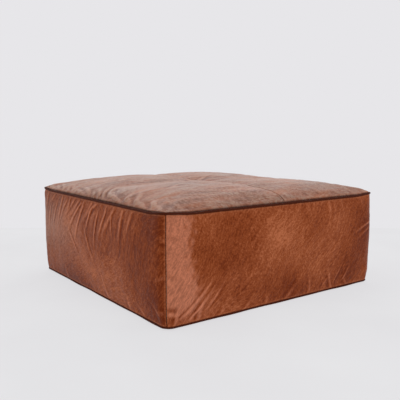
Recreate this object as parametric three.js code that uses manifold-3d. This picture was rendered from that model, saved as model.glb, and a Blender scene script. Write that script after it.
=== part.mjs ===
// A low square floor pouf in oiled leather: a crowned top of four quarter panels sewn in a cross, four
// side panels, a zipped base of two panels, corded piping round both edges, and a lined, foam-filled core.
// Millimetres, +Z up. The origin is on the floor under the middle of the base; the front faces -Y.

import * as THREE from "three";
import { mergeVertices } from "three/addons/utils/BufferGeometryUtils.js";
import Module from "manifold-3d";

// Overall sizes, from seam line to seam line
const width = 900; // along X
const depth = 900; // along Y
const height = 327; // floor to the middle of the top piping
const crownRise = 47; // how far the filled top swells above its edge seam
const centreDip = 9; // how far the cross seam pulls the middle down
const centreDipReach = 90;
const cornerRadius = 33;
const cornerSteps = 2; // facets in each half of a corner
const sideRows = 6; // facets up a side
const sideBulge = 7; // how far a side swells at mid height
const earRise = 5; // how far the top seam lifts at each corner
const earReach = 85;
const baseSeamHeight = 7.5; // floor to the middle of the base piping
const baseEdgeReach = 24; // how far in from its seam the base curves up off the floor

// Materials' thicknesses and the clearances between neighbours
const leather = 1.6;
const calico = 0.6;
const thread = 0.8;
const fit = 0.3; // between pieces that touch
const seamGap = thread + 2 * fit; // between two panels that a thread joins

// Corded piping: a leather sleeve round a cord, with a flange of two layers sewn into the seam
const pipingRadius = 3;
const pipingWall = 1.1;
const pipingOffset = 1.5; // the cord's middle stands this far outside the seam line
const cordSlack = 0.5; // between the cord and the sleeve's bore, on the radius
const flangeEnd = 12; // how far in from the seam line the flange reaches
const flangeHalf = fit / 2 + 1; // half the flange's thickness

// Filling
const foamSplitHeight = 160; // between the firm lower slab and the softer upper one
const foamTopHeight = height - 27; // between the upper slab and the wadding pad, below the top seam
const foamInset = 4.2;

// Zip along the middle of the base
const zipLength = 600;
const zipSlot = 7; // half the opening that shows the zip
const zipRecess = 7.3; // the leather beside the zip is lifted this far off the floor
const zipLanding = 17; // half width of the lifted strip
const zipSlope = 23; // over which the leather comes back down to the floor
const zipRunout = 8; // the recess goes on this far past the zip before it fades
const zipFade = 42;
const tapeWidth = 14;
const tapeThickness = 0.6;
const rowWidth = 1.8;
const rowThickness = 2.4;
const postThickness = 0.6;
const stopLength = 3;
const sliderLength = 10;
const sliderWidth = 9;
const plateThickness = 1.2;
const bridgeWidth = 1.6;
const bridgeThickness = 1;
const bridgeLength = 7;
const bridgeLeg = 1;
const tabThickness = 0.8;
const tabWidth = 5.2;
const tabLength = 24;
const tabHoleSide = 0.5; // clearance between the bridge and the tab's window
const weld = 0.1; // how deep pieces of one casting run into each other

// Heights that follow from the sizes above
const panelRest = flangeHalf + fit; // a panel's near face, off the flange's middle plane
const panelFace = panelRest + leather; // and its far, visible face
const sideEdge = Math.sqrt((pipingRadius + fit) ** 2 - pipingOffset ** 2) + fit / 4;
const panelInset = Math.sqrt((pipingRadius + fit) ** 2 - panelRest ** 2) - pipingOffset;
const edgeThreadIn = leather + fit + thread / 2 + fit / 2;
const edgeThreadDrop = flangeHalf + fit + thread / 2;
const rowHeight = zipRecess + leather + fit + tapeThickness / 2;
const rowGap = postThickness + 2 * fit;
const tapeStart = rowGap / 2 + rowWidth + fit;
const linerGroove = rowHeight + rowThickness / 2 + fit + plateThickness + fit - (leather + fit);
const linerSlope = zipSlope + 5;
const cornerSeam = (seamGap / 2) * (4 / Math.PI); // half a corner seam's gap, in rim coordinates

const looks = {
  cover: { color: 0x864224, roughness: 0.45 },
  piping: { color: 0x3c190f, roughness: 0.5 },
  cord: { color: 0xd9cdb8, roughness: 0.95 },
  thread: { color: 0x4a2412, roughness: 0.8 },
  tape: { color: 0x2b1a12, roughness: 0.9 },
  metal: { color: 0xb08d4f, roughness: 0.35, metalness: 1 },
  calico: { color: 0xe6dfcf, roughness: 0.95 },
  foam: { color: 0xe9d9a6, roughness: 0.9 },
  wadding: { color: 0xf4f3ee, roughness: 1 },
};

const model = new THREE.Group();
const cover = new THREE.Group();
const filling = new THREE.Group();
const zip = new THREE.Group();
model.add(cover, filling, zip);

function piece(parent, name, geometry, look) {
  const mesh = new THREE.Mesh(geometry, new THREE.MeshStandardMaterial(look));
  mesh.name = name;
  parent.add(mesh);
  return mesh;
}

const mix = (a, b, t) => a + (b - a) * t;
const clamp01 = (t) => Math.min(1, Math.max(0, t));

// The plan, seen from above. Coordinates x and y each run from -half to +half over a sharp-cornered plan,
// and the squares at its corners are drawn in to quarter circles. The rim stands `out` beyond the seam line.
function planPoint(x, y, out) {
  const signs = [Math.sign(x), Math.sign(y)];
  const straights = [width / 2 - cornerRadius, depth / 2 - cornerRadius];
  const past = [Math.abs(x), Math.abs(y)].map((value, axis) => (value - straights[axis]) / cornerRadius);
  const radius = cornerRadius + out;
  const grown = (share) => share * (share > 0 ? radius : cornerRadius);
  if (Math.min(...past) <= 0) return past.map((share, axis) => signs[axis] * (straights[axis] + grown(share)));
  const reach = Math.max(...past);
  const turned = (Math.min(...past) / reach) * cornerSteps;
  const step = Math.min(Math.floor(turned), cornerSteps - 1);
  const [from, to] = [step, step + 1].map((k) => (k / cornerSteps) * (Math.PI / 4));
  const facet = [Math.cos, Math.sin].map((wave) => reach * radius * mix(wave(from), wave(to), turned - step));
  const ordered = past[0] < past[1] ? facet.reverse() : facet;
  return ordered.map((value, axis) => signs[axis] * (straights[axis] + value));
}

// The rim. Side 0 faces -Y, and the others follow counterclockwise. A coordinate c runs along a side from
// -half to +half: its last cornerRadius at each end turns the corner up to the diagonal.
const halves = [width / 2, depth / 2, width / 2, depth / 2];
const sideNames = ["front", "right", "back", "left"];
const alongs = [[1, 0], [0, 1], [-1, 0], [0, -1]];
const outwards = [[0, -1], [1, 0], [0, 1], [-1, 0]];
const rimPoint = (side, c, out) =>
  planPoint(...[0, 1].map((axis) => c * alongs[side][axis] + halves[axis] * outwards[side][axis]), out);

// Stations along a side: both corners' facets, the places where the ears start, and even steps between
function rimStations(half) {
  const straight = half - cornerRadius;
  const facets = Array.from({ length: cornerSteps + 1 }, (_, k) => k / cornerSteps);
  const corner = facets.map((share) => straight + cornerRadius * share);
  const reached = [half - earReach, ...corner];
  return [...reached.map((c) => -c).reverse(), ...reached];
}

function sheetStations(half, extra = []) {
  const inner = half - earReach;
  const even = [0.36, 0.7].map((share) => share * inner);
  const all = [...rimStations(half), 0, ...even, ...even.map((c) => -c), ...extra, ...extra.map((c) => -c)];
  return [...new Set(all)].sort((a, b) => a - b);
}

const between = (stations, from, to) => [from, ...stations.filter((c) => c > from && c < to), to];
const ordered = (a, b) => (a < b ? [a, b] : [b, a]);

// How far the top seam lifts at a point whose nearest corner is given
function lift([x, y], [cornerX, cornerY]) {
  return earRise * clamp01(1 - (Math.hypot(x - cornerX, y - cornerY) / earReach) ** 2) ** 2;
}

// The lift at plan coordinates (x, y), and at a coordinate along a side
const ends = (value, half) => Math.sign(value || 1) * half;
const ear = (x, y) => lift(planPoint(x, y, 0), planPoint(ends(x, halves[0]), ends(y, halves[1]), 0));
const rimEar = (side, c) => lift(rimPoint(side, c, 0), rimPoint(side, ends(c, halves[side]), 0));

// Height of the top's visible face
function topHeight(x, y) {
  const [p, q] = [x / halves[0], y / halves[1]];
  const crown = crownRise * Math.sqrt(Math.max(0, (1 - p ** 4) * (1 - q ** 4)));
  const dip = centreDip * Math.exp(-(x * x + y * y) / centreDipReach ** 2);
  return height + panelFace + ear(x, y) + crown - dip;
}

// How much of the zip recess there is at x, and the recess's share at a distance y from the zip
const recessAlong = (x) => clamp01((zipLength / 2 + zipRunout + zipFade - Math.abs(x)) / zipFade);
const recessAcross = (y, slope) => clamp01((zipLanding + slope - Math.abs(y)) / slope);

// Height of the base's visible face without its recess: it curves up to its seam round the rim
function baseEdgeHeight(x, y) {
  const inward = Math.min(halves[0] - Math.abs(x), halves[1] - Math.abs(y));
  return (baseSeamHeight - panelFace) * clamp01(1 - inward / baseEdgeReach) ** 2;
}

const baseHeight = (x, y) => baseEdgeHeight(x, y) + zipRecess * recessAlong(x) * recessAcross(y, zipSlope);
const linerHeight = (x, y) =>
  baseEdgeHeight(x, y) + leather + fit + linerGroove * recessAlong(x) * recessAcross(y, linerSlope);

// How far a side stands out at a height share t
function bulge(side, c, t) {
  return sideBulge * (1 - (c / halves[side]) ** 4) * 4 * t * (1 - t);
}

const sideFoot = baseSeamHeight + sideEdge;
const sideHead = (side, c) => height + rimEar(side, c) - sideEdge;

// A closed block: a box's grid moved to point(u, v, w), where w is 0 on one face and 1 on the other
function block(us, vs, point) {
  const geometry = new THREE.BoxGeometry(1, 1, 1, us.length - 1, vs.length - 1, 1);
  const position = geometry.attributes.position;
  for (let i = 0; i < position.count; i++) {
    const u = us[Math.round((position.getX(i) + 0.5) * (us.length - 1))];
    const v = vs[Math.round((position.getY(i) + 0.5) * (vs.length - 1))];
    position.setXYZ(i, ...point(u, v, position.getZ(i) + 0.5));
  }
  // The face at w = 0 splits its quads the other way, so they are turned: nested sheets stay parallel.
  const { start, count } = geometry.groups[5];
  const corners = geometry.index.array;
  for (let i = start; i < start + count; i += 6) {
    const [a, b, d, , c] = corners.slice(i, i + 6);
    corners.set([a, b, c, a, c, d], i);
  }
  geometry.computeVertexNormals();
  return geometry;
}

// A closed ring: a torus's grid moved so that its section runs round the rim. A section point is
// [out, up] or a function of the side and coordinate that gives it, and counterclockwise.
function ring(section, stationsOf, heightOf) {
  const stops = halves.flatMap((half, side) =>
    stationsOf(half).slice(0, -1).map((c) => [side, c]),
  );
  const geometry = new THREE.TorusGeometry(1, 0.5, section.length, stops.length);
  const position = geometry.attributes.position;
  for (let i = 0; i < position.count; i++) {
    const [side, c] = stops[(i % (stops.length + 1)) % stops.length];
    const corner = section[Math.floor(i / (stops.length + 1)) % section.length];
    const [out, up] = typeof corner === "function" ? corner(side, c) : corner;
    position.setXYZ(i, ...rimPoint(side, c, out), heightOf(side, c) + up);
  }
  geometry.computeVertexNormals();
  return geometry;
}

// A length of thread with closed ends, square in section, whose middle passes through centre(t) for each
// t in stops. `across` and `up` are the directions of its sides.
function strand(stops, centre, across, up) {
  const sides = [-thread / 2, thread / 2];
  return block(stops, sides, (t, v, w) =>
    centre(t).map((value, axis) => value + v * across[axis] + (w - 0.5) * thread * up[axis]),
  );
}

// Top: four quarter panels, their cross seam, and the seam round the edge
const quarters = [["front_left", -1, -1], ["front_right", 1, -1], ["back_right", 1, 1], ["back_left", -1, 1]];
for (const [place, ...signs] of quarters) {
  const spans = signs.map((sign, k) =>
    between(sheetStations(halves[k]), ...ordered((sign * seamGap) / 2, sign * halves[k])),
  );
  const geometry = block(...spans, (x, y, w) => [
    ...planPoint(x, y, -panelInset),
    topHeight(x, y) - leather * (1 - w),
  ]);
  piece(cover, `top_panel_${place}`, geometry, looks.cover);
}

const threadInset = panelInset + 2 * fit;
const threadDrop = thread / 2 + fit;
const longCentre = (x) => [...planPoint(x, 0, -threadInset), topHeight(x, 0) - threadDrop];
const longThread = strand(sheetStations(halves[0]), longCentre, [0, 1, 0], [0, 0, 1]);
piece(cover, "top_seam_thread_long", longThread, looks.thread);
for (const [place, sign] of [["front", -1], ["back", 1]]) {
  const stops = between(sheetStations(halves[1]), ...ordered(sign * (thread / 2 + fit), sign * halves[1]));
  const centre = (y) => [...planPoint(0, y, -threadInset), topHeight(0, y) - threadDrop];
  piece(cover, `top_seam_thread_${place}`, strand(stops, centre, [-1, 0, 0], [0, 0, 1]), looks.thread);
}

// Sides: four panels with a thread in each corner seam
const sideShares = Array.from({ length: sideRows + 1 }, (_, k) => k / sideRows);
for (const [side, name] of sideNames.entries()) {
  const half = halves[side];
  const span = between(sheetStations(half), cornerSeam - half, half - cornerSeam);
  const geometry = block(span, sideShares, (c, t, w) => [
    ...rimPoint(side, c, bulge(side, c, t) - leather * (1 - w)),
    mix(sideFoot, sideHead(side, c), t),
  ]);
  piece(cover, `side_panel_${name}`, geometry, looks.cover);

  const [x, y] = rimPoint(side, -half, -leather / 2);
  const [across, up] = [1, -1].map((sign) =>
    [0, 1].map((axis) => (alongs[side][axis] + sign * outwards[side][axis]) / Math.SQRT2).concat(0),
  );
  const stops = [sideFoot + fit, sideHead(side, -half) - fit];
  const cornerThread = strand(stops, (z) => [x, y, z], across, up);
  piece(cover, `corner_seam_thread_${quarters[side][0]}`, cornerThread, looks.thread);
}

// Piping: an open sleeve with its flange inwards, and the cord in it
const arcSteps = 6;
const bore = pipingRadius - pipingWall;

function arc(radius, from, to) {
  return Array.from({ length: arcSteps + 1 }, (_, k) => {
    const angle = mix(from, to, k / arcSteps);
    return [pipingOffset + radius * Math.cos(angle), radius * Math.sin(angle)];
  });
}

const outerMouth = Math.asin(flangeHalf / pipingRadius);
const innerMouth = Math.asin(fit / 2 / bore);
const sleeveSection = [
  [-flangeEnd, -flangeHalf],
  ...arc(pipingRadius, outerMouth - Math.PI, Math.PI - outerMouth),
  [-flangeEnd, flangeHalf],
  [-flangeEnd, fit / 2],
  ...arc(bore, Math.PI - innerMouth, innerMouth - Math.PI),
  [-flangeEnd, -fit / 2],
];
const cordSection = arc(bore - cordSlack, 0, 2 * Math.PI).slice(0, -1);
const seams = [
  ["top", (side, c) => height + rimEar(side, c), -1],
  ["base", () => baseSeamHeight, 1],
];
for (const [edge, seamHeight, inside] of seams) {
  piece(cover, `${edge}_piping_sleeve`, ring(sleeveSection, rimStations, seamHeight), looks.piping);
  piece(cover, `${edge}_piping_cord`, ring(cordSection, rimStations, seamHeight), looks.cord);
  const threadSection = [[-1, -1], [1, -1], [1, 1], [-1, 1]].map(([u, v]) => [
    (u * thread) / 2 - edgeThreadIn,
    (v * thread) / 2 + inside * edgeThreadDrop,
  ]);
  piece(cover, `${edge}_edge_seam_thread`, ring(threadSection, rimStations, seamHeight), looks.thread);
}

// Base: two panels whose inner edges rise to the zip, and a short sewn seam beyond each end of it
const recessStations = [zipLength / 2 + zipRunout, zipLength / 2 + zipRunout + zipFade];
const slotEdge = (x) => mix(seamGap / 2, zipSlot, recessAlong(x));
for (const [place, sign] of [["front", -1], ["back", 1]]) {
  const ys = sheetStations(halves[1], [zipLanding, zipLanding + zipSlope]);
  const span = between(ys, ...ordered(sign * zipSlot, sign * halves[1]));
  const geometry = block(sheetStations(halves[0], recessStations), span, (x, v, w) => {
    const y = Math.abs(v) > zipSlot ? v : sign * slotEdge(x);
    return [...planPoint(x, y, -panelInset), baseHeight(x, y) + leather * w];
  });
  piece(cover, `base_panel_${place}`, geometry, looks.cover);
}
for (const [place, sign] of [["left", -1], ["right", 1]]) {
  const stops = between(sheetStations(halves[0]), ...ordered(sign * recessStations[1], sign * halves[0]));
  const centre = (x) => [...planPoint(x, 0, -threadInset), baseHeight(x, 0) + threadDrop];
  piece(cover, `base_seam_thread_${place}`, strand(stops, centre, [0, 1, 0], [0, 0, 1]), looks.thread);
}

// Lining: a calico sheet under the top, a band round the sides and a sheet over the base. The sheets and
// the filling stop one corner facet inside the rim, clear of the flanges.
const inside = (stations) => stations.slice(1, -1);
const [xs, ys] = halves.map((half) => inside(sheetStations(half)));
const baseXs = inside(sheetStations(halves[0], recessStations));
const baseYs = inside(sheetStations(halves[1], [zipLanding, zipLanding + linerSlope]));
const linerPlan = (x, y) => planPoint(x, y, -panelInset);
const linerTop = (x, y) => topHeight(x, y) - leather - fit;
const topLiner = block(xs, ys, (x, y, w) => [...linerPlan(x, y), linerTop(x, y) - calico * (1 - w)]);
piece(filling, "liner_top", topLiner, looks.calico);

const bandFaces = [...sideShares.map((t) => [t, 0]), ...sideShares.map((t) => [t, 1]).reverse()];
const bandSection = bandFaces.map(([t, inner]) => (side, c) => [
  bulge(side, c, t) - leather - fit - calico * inner,
  t * (sideHead(side, c) - sideFoot),
]);
piece(filling, "liner_band", ring(bandSection, sheetStations, () => sideFoot), looks.calico);

const baseLiner = block(baseXs, baseYs, (x, y, w) => [...linerPlan(x, y), linerHeight(x, y) + calico * w]);
piece(filling, "liner_base", baseLiner, looks.calico);

// Filling: two foam slabs, the lower one grooved over the zip and chamfered over the base seam, and a
// crowned wadding pad
const spread = (c, stations, half) => (Math.abs(c) < stations.at(-1) ? c : Math.sign(c) * half);
const slabPlan = (x, y) => planPoint(spread(x, xs, halves[0]), spread(y, ys, halves[1]), -foamInset);
const lowerFoam = block(baseXs, baseYs, (x, y, w) =>
  w > 0.5 ? [...slabPlan(x, y), foamSplitHeight] : [...linerPlan(x, y), linerHeight(x, y) + calico + fit],
);
piece(filling, "foam_core_lower", lowerFoam, looks.foam);
const upperFoam = block(xs, ys, (x, y, w) => [
  ...slabPlan(x, y),
  w > 0.5 ? foamTopHeight : foamSplitHeight + fit,
]);
piece(filling, "foam_core_upper", upperFoam, looks.foam);
const pad = block(xs, ys, (x, y, w) => [
  ...linerPlan(x, y),
  w > 0.5 ? linerTop(x, y) - calico - fit : foamTopHeight + fit,
]);
piece(filling, "wadding_pad", pad, looks.wadding);

// Zip: two tapes and two rows of teeth on the base's underside, a stop at each end, and the slider
const rowAway = (rowGap + rowWidth) / 2;
const tapeAway = tapeStart + tapeWidth / 2;
for (const [place, sign] of [["front", -1], ["back", 1]]) {
  const tapeGeometry = new THREE.BoxGeometry(zipLength + 2 * (fit + stopLength), tapeWidth, tapeThickness);
  piece(zip, `zip_tape_${place}`, tapeGeometry, looks.tape).position.set(0, sign * tapeAway, rowHeight);
  const rowGeometry = new THREE.BoxGeometry(zipLength, rowWidth, rowThickness);
  piece(zip, `zip_row_${place}`, rowGeometry, looks.metal).position.set(0, sign * rowAway, rowHeight);
  const stitchLine = (x) => [x, (sign * (zipSlot + zipLanding)) / 2, zipRecess - threadDrop];
  const stitch = strand([-zipLength / 2, zipLength / 2], stitchLine, [0, 1, 0], [0, 0, 1]);
  piece(zip, `zip_stitch_${place}`, stitch, looks.thread);
}
for (const [place, sign] of [["left", -1], ["right", 1]]) {
  const stopGeometry = new THREE.BoxGeometry(stopLength, rowGap + 2 * rowWidth, rowThickness);
  const stop = piece(zip, `zip_stop_${place}`, stopGeometry, looks.metal);
  stop.position.set(sign * (zipLength / 2 + fit + stopLength / 2), 0, rowHeight);
}

const wasm = await Module();
wasm.setup();

function fused(geometries) {
  const solids = geometries.map((geometry) => {
    const bare = geometry.deleteAttribute("normal").deleteAttribute("uv");
    const merged = mergeVertices(bare);
    const vertProperties = merged.attributes.position.array;
    return new wasm.Manifold(new wasm.Mesh({ numProp: 3, vertProperties, triVerts: merged.index.array }));
  });
  const mesh = solids.reduce((sum, solid) => sum.add(solid)).getMesh();
  const joined = new THREE.BufferGeometry();
  joined.setAttribute("position", new THREE.BufferAttribute(mesh.vertProperties, 3));
  joined.setIndex(new THREE.BufferAttribute(mesh.triVerts, 1));
  joined.computeVertexNormals();
  return joined;
}

// The slider, about the middle of the rows: a plate over and under them, a post between them, and a
// bridge below for the pull tab
const pinGap = tabThickness + 2 * fit;
const plateMiddle = (rowThickness + plateThickness) / 2 + fit;
const plateFace = -plateMiddle - plateThickness / 2;
const bridgeMiddle = plateFace - pinGap - bridgeThickness / 2;
const postLength = 2;
const box = (sizes, place) => new THREE.BoxGeometry(...sizes).translate(...place);
const slider = piece(
  zip,
  "zip_slider",
  fused([
    ...[1, -1].map((sign) => box([sliderLength, sliderWidth, plateThickness], [0, 0, sign * plateMiddle])),
    box([postLength, postThickness, rowThickness + 2 * (fit + weld)], [sliderLength / 2 - postLength, 0, 0]),
    ...[1, -1].map((sign) =>
      box(
        [bridgeLeg, bridgeWidth, pinGap + 2 * weld],
        [(sign * (bridgeLength - bridgeLeg)) / 2, 0, plateFace - pinGap / 2],
      ),
    ),
    box([bridgeLength, bridgeWidth, bridgeThickness], [0, 0, bridgeMiddle]),
  ]),
  looks.metal,
);
const sliderStart = fit + sliderLength / 2 - zipLength / 2;
slider.position.set(sliderStart, 0, rowHeight);

// The pull tab: its end bar lies between the slider's plate and bridge, and its window clears the bridge
const tabWindow = Math.hypot(bridgeLength / 2, pinGap / 2 + bridgeThickness) + tabHoleSide;
const windowHalf = bridgeWidth / 2 + tabHoleSide;
const tabShape = new THREE.Shape()
  .moveTo(-tabThickness / 2, -tabWidth / 2)
  .lineTo(tabLength - tabWidth / 2, -tabWidth / 2)
  .absarc(tabLength - tabWidth / 2, 0, tabWidth / 2, -Math.PI / 2, Math.PI / 2)
  .lineTo(-tabThickness / 2, tabWidth / 2)
  .closePath();
const tabHole = new THREE.Path()
  .moveTo(tabThickness / 2, -windowHalf)
  .lineTo(tabThickness / 2, windowHalf)
  .lineTo(tabWindow, windowHalf)
  .lineTo(tabWindow, -windowHalf)
  .closePath();
tabShape.holes.push(tabHole);
const tabForm = { depth: tabThickness, bevelEnabled: false, curveSegments: 8 };
const tabGeometry = new THREE.ExtrudeGeometry(tabShape, tabForm);
const tab = piece(zip, "zip_pull_tab", tabGeometry, looks.metal);
tab.position.set(sliderStart, 0, rowHeight + plateFace - pinGap / 2 - tabThickness / 2);

export default model;
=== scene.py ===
"""A low square floor pouf in oiled leather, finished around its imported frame.

Run as a script. Every length is in metres, in the frame's own axes: the origin is on the floor under the
middle of the base, and the front faces -Y.
"""

import math
from collections import namedtuple

import bpy
import numpy as np
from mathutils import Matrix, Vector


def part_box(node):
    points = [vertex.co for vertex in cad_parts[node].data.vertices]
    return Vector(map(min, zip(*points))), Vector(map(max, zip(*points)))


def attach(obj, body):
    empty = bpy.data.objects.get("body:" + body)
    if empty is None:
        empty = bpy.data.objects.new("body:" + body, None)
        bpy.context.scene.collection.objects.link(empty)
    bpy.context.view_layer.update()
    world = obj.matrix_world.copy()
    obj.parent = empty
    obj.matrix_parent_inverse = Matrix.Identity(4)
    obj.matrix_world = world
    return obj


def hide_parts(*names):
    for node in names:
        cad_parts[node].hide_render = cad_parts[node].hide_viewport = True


bl_info = {
    "name": "Leather Floor Pouf",
    "version": (1, 0, 0),
    "blender": (4, 5, 0),
    "location": "3D View > Sidebar > Pouf",
    "description": "Builds a stuffed square leather pouf around its packed frame",
    "category": "Add Mesh",
}

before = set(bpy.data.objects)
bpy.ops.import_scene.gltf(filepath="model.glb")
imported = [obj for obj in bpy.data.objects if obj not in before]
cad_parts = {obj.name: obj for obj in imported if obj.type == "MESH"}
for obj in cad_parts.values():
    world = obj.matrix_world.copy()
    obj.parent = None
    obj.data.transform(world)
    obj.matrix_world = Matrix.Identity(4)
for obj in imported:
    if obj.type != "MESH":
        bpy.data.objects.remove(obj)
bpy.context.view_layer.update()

MM = 0.001
PIPING_RADIUS = 3 * MM
PIPING_OFFSET = 1.5 * MM  # the cord's middle stands this far outside the seam line
PIPING_REACH = PIPING_RADIUS + PIPING_OFFSET
TOP_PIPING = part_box("top_piping_sleeve")
BASE_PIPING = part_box("base_piping_sleeve")
ZIP_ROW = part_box("zip_row_front")
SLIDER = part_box("zip_slider")
PULL_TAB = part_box("zip_pull_tab")
SEAM_SPAN = [TOP_PIPING[1][axis] - TOP_PIPING[0][axis] - 2 * PIPING_REACH for axis in (0, 1)]

SIDE_NAMES = ("front", "right", "back", "left")
ALONG = ((1, 0), (0, 1), (-1, 0), (0, -1))
OUTWARD = ((0, -1), (1, 0), (0, 1), (-1, 0))
QUARTERS = (("front_left", -1, -1), ("front_right", 1, -1), ("back_right", 1, 1), ("back_left", -1, 1))


def length(label, note, default, low=0.0, high=2.0):
    """A size for the sidebar, in metres."""
    return bpy.props.FloatProperty(
        name=label, description=note, default=default, min=low, max=high, unit="LENGTH", precision=4
    )


def colour(label, note, red, green, blue):
    """A finish's colour for the sidebar, from screen values out of 255."""
    linear = [((v / 255 + 0.055) / 1.055) ** 2.4 for v in (red, green, blue)]
    return bpy.props.FloatVectorProperty(
        name=label, description=note, subtype="COLOR", size=3, default=linear, min=0, max=1
    )


class PoufSizes(bpy.types.PropertyGroup):
    """Sizes that shape the pouf."""

    width: length("Width", "Seam line to seam line, along X", SEAM_SPAN[0])
    depth: length("Depth", "Seam line to seam line, along Y", SEAM_SPAN[1])
    seam_height: length("Top seam", "Floor to the middle of the top piping", TOP_PIPING[0].z + PIPING_RADIUS)
    base_seam: length("Base seam", "Floor to the middle of the base piping", BASE_PIPING[0].z + PIPING_RADIUS)
    corner_radius: length("Corner radius", "Radius of the seam line at a corner", 33 * MM)
    crown_rise: length("Crown", "How far the filled top swells above its seam", 47 * MM)
    centre_dip: length("Centre dip", "How far the cross seam pulls the middle down", 9 * MM)
    side_bulge: length("Side bulge", "How far a side swells at half height", 7 * MM)
    ear_rise: length("Ears", "How far the top seam lifts at each corner", 5 * MM)
    leather: length("Leather", "Thickness of the cover leather", 1.6 * MM)
    seam_gap: length("Seam gap", "Between two panels that a thread joins", 0.8 * MM)
    grid: length("Grid", "Spacing of the leather's mesh", 4.2 * MM, 1 * MM, 20 * MM)
    fold_depth: length("Fold depth", "Height of the deepest folds", 3.0 * MM)
    stitch_pitch: length("Stitch pitch", "From one stitch to the next", 4.5 * MM)
    stitch_length: length("Stitch length", "Length of one stitch", 3.6 * MM)
    thread: length("Thread", "Thickness of the thread", 0.8 * MM)
    tooth_pitch: length("Tooth pitch", "From one zip tooth to the next", 2.4 * MM)


class PoufFinishes(bpy.types.PropertyGroup):
    """Colours of the finishes."""

    leather: colour("Leather", "Middle tone of the cover", 142, 68, 32)
    leather_dark: colour("Leather, dark", "Darkest clouds of the cover", 106, 39, 6)
    leather_light: colour("Leather, light", "Lightest clouds of the cover", 186, 108, 70)
    # Painted sheen: the pale patches of this colour stand in for reflections of the bright room on the
    # leather.
    leather_bloom: colour("Leather, rubbed", "Dry, rubbed patches", 180, 110, 82)
    # Painted grey sheen: this colour stands in for the reflection of the bright room where the top, and the
    # far end of the left side, are seen at a grazing angle.
    leather_dusty: colour("Leather, dusty", "The sheen that use gives the top", 148, 119, 104)
    # This colour is also painted into the cover's seams as shade.
    piping: colour("Piping", "Darker leather of the piping", 72, 29, 15)
    thread: colour("Thread", "Waxed thread", 104, 52, 28)
    cord: colour("Cord", "Cotton cord in the piping", 217, 205, 184)
    tape: colour("Tape", "Woven zip tape", 58, 38, 28)
    brass: colour("Brass", "Zip teeth and slider", 176, 141, 79)
    calico: colour("Calico", "Lining cloth", 230, 223, 207)
    foam: colour("Foam", "Foam slabs", 233, 217, 166)
    wadding: colour("Wadding", "Polyester wadding", 244, 243, 238)
    floor: colour("Floor", "Studio floor", 240, 240, 242)
    backdrop: colour("Backdrop", "Studio light and air", 231, 230, 233)


# ------------------------------------------------------------------------------------------------- form


def smooth(value):
    """0 below 0, 1 above 1, and an S curve between."""
    t = np.clip(value, 0, 1)
    return t * t * (3 - 2 * t)


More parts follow.
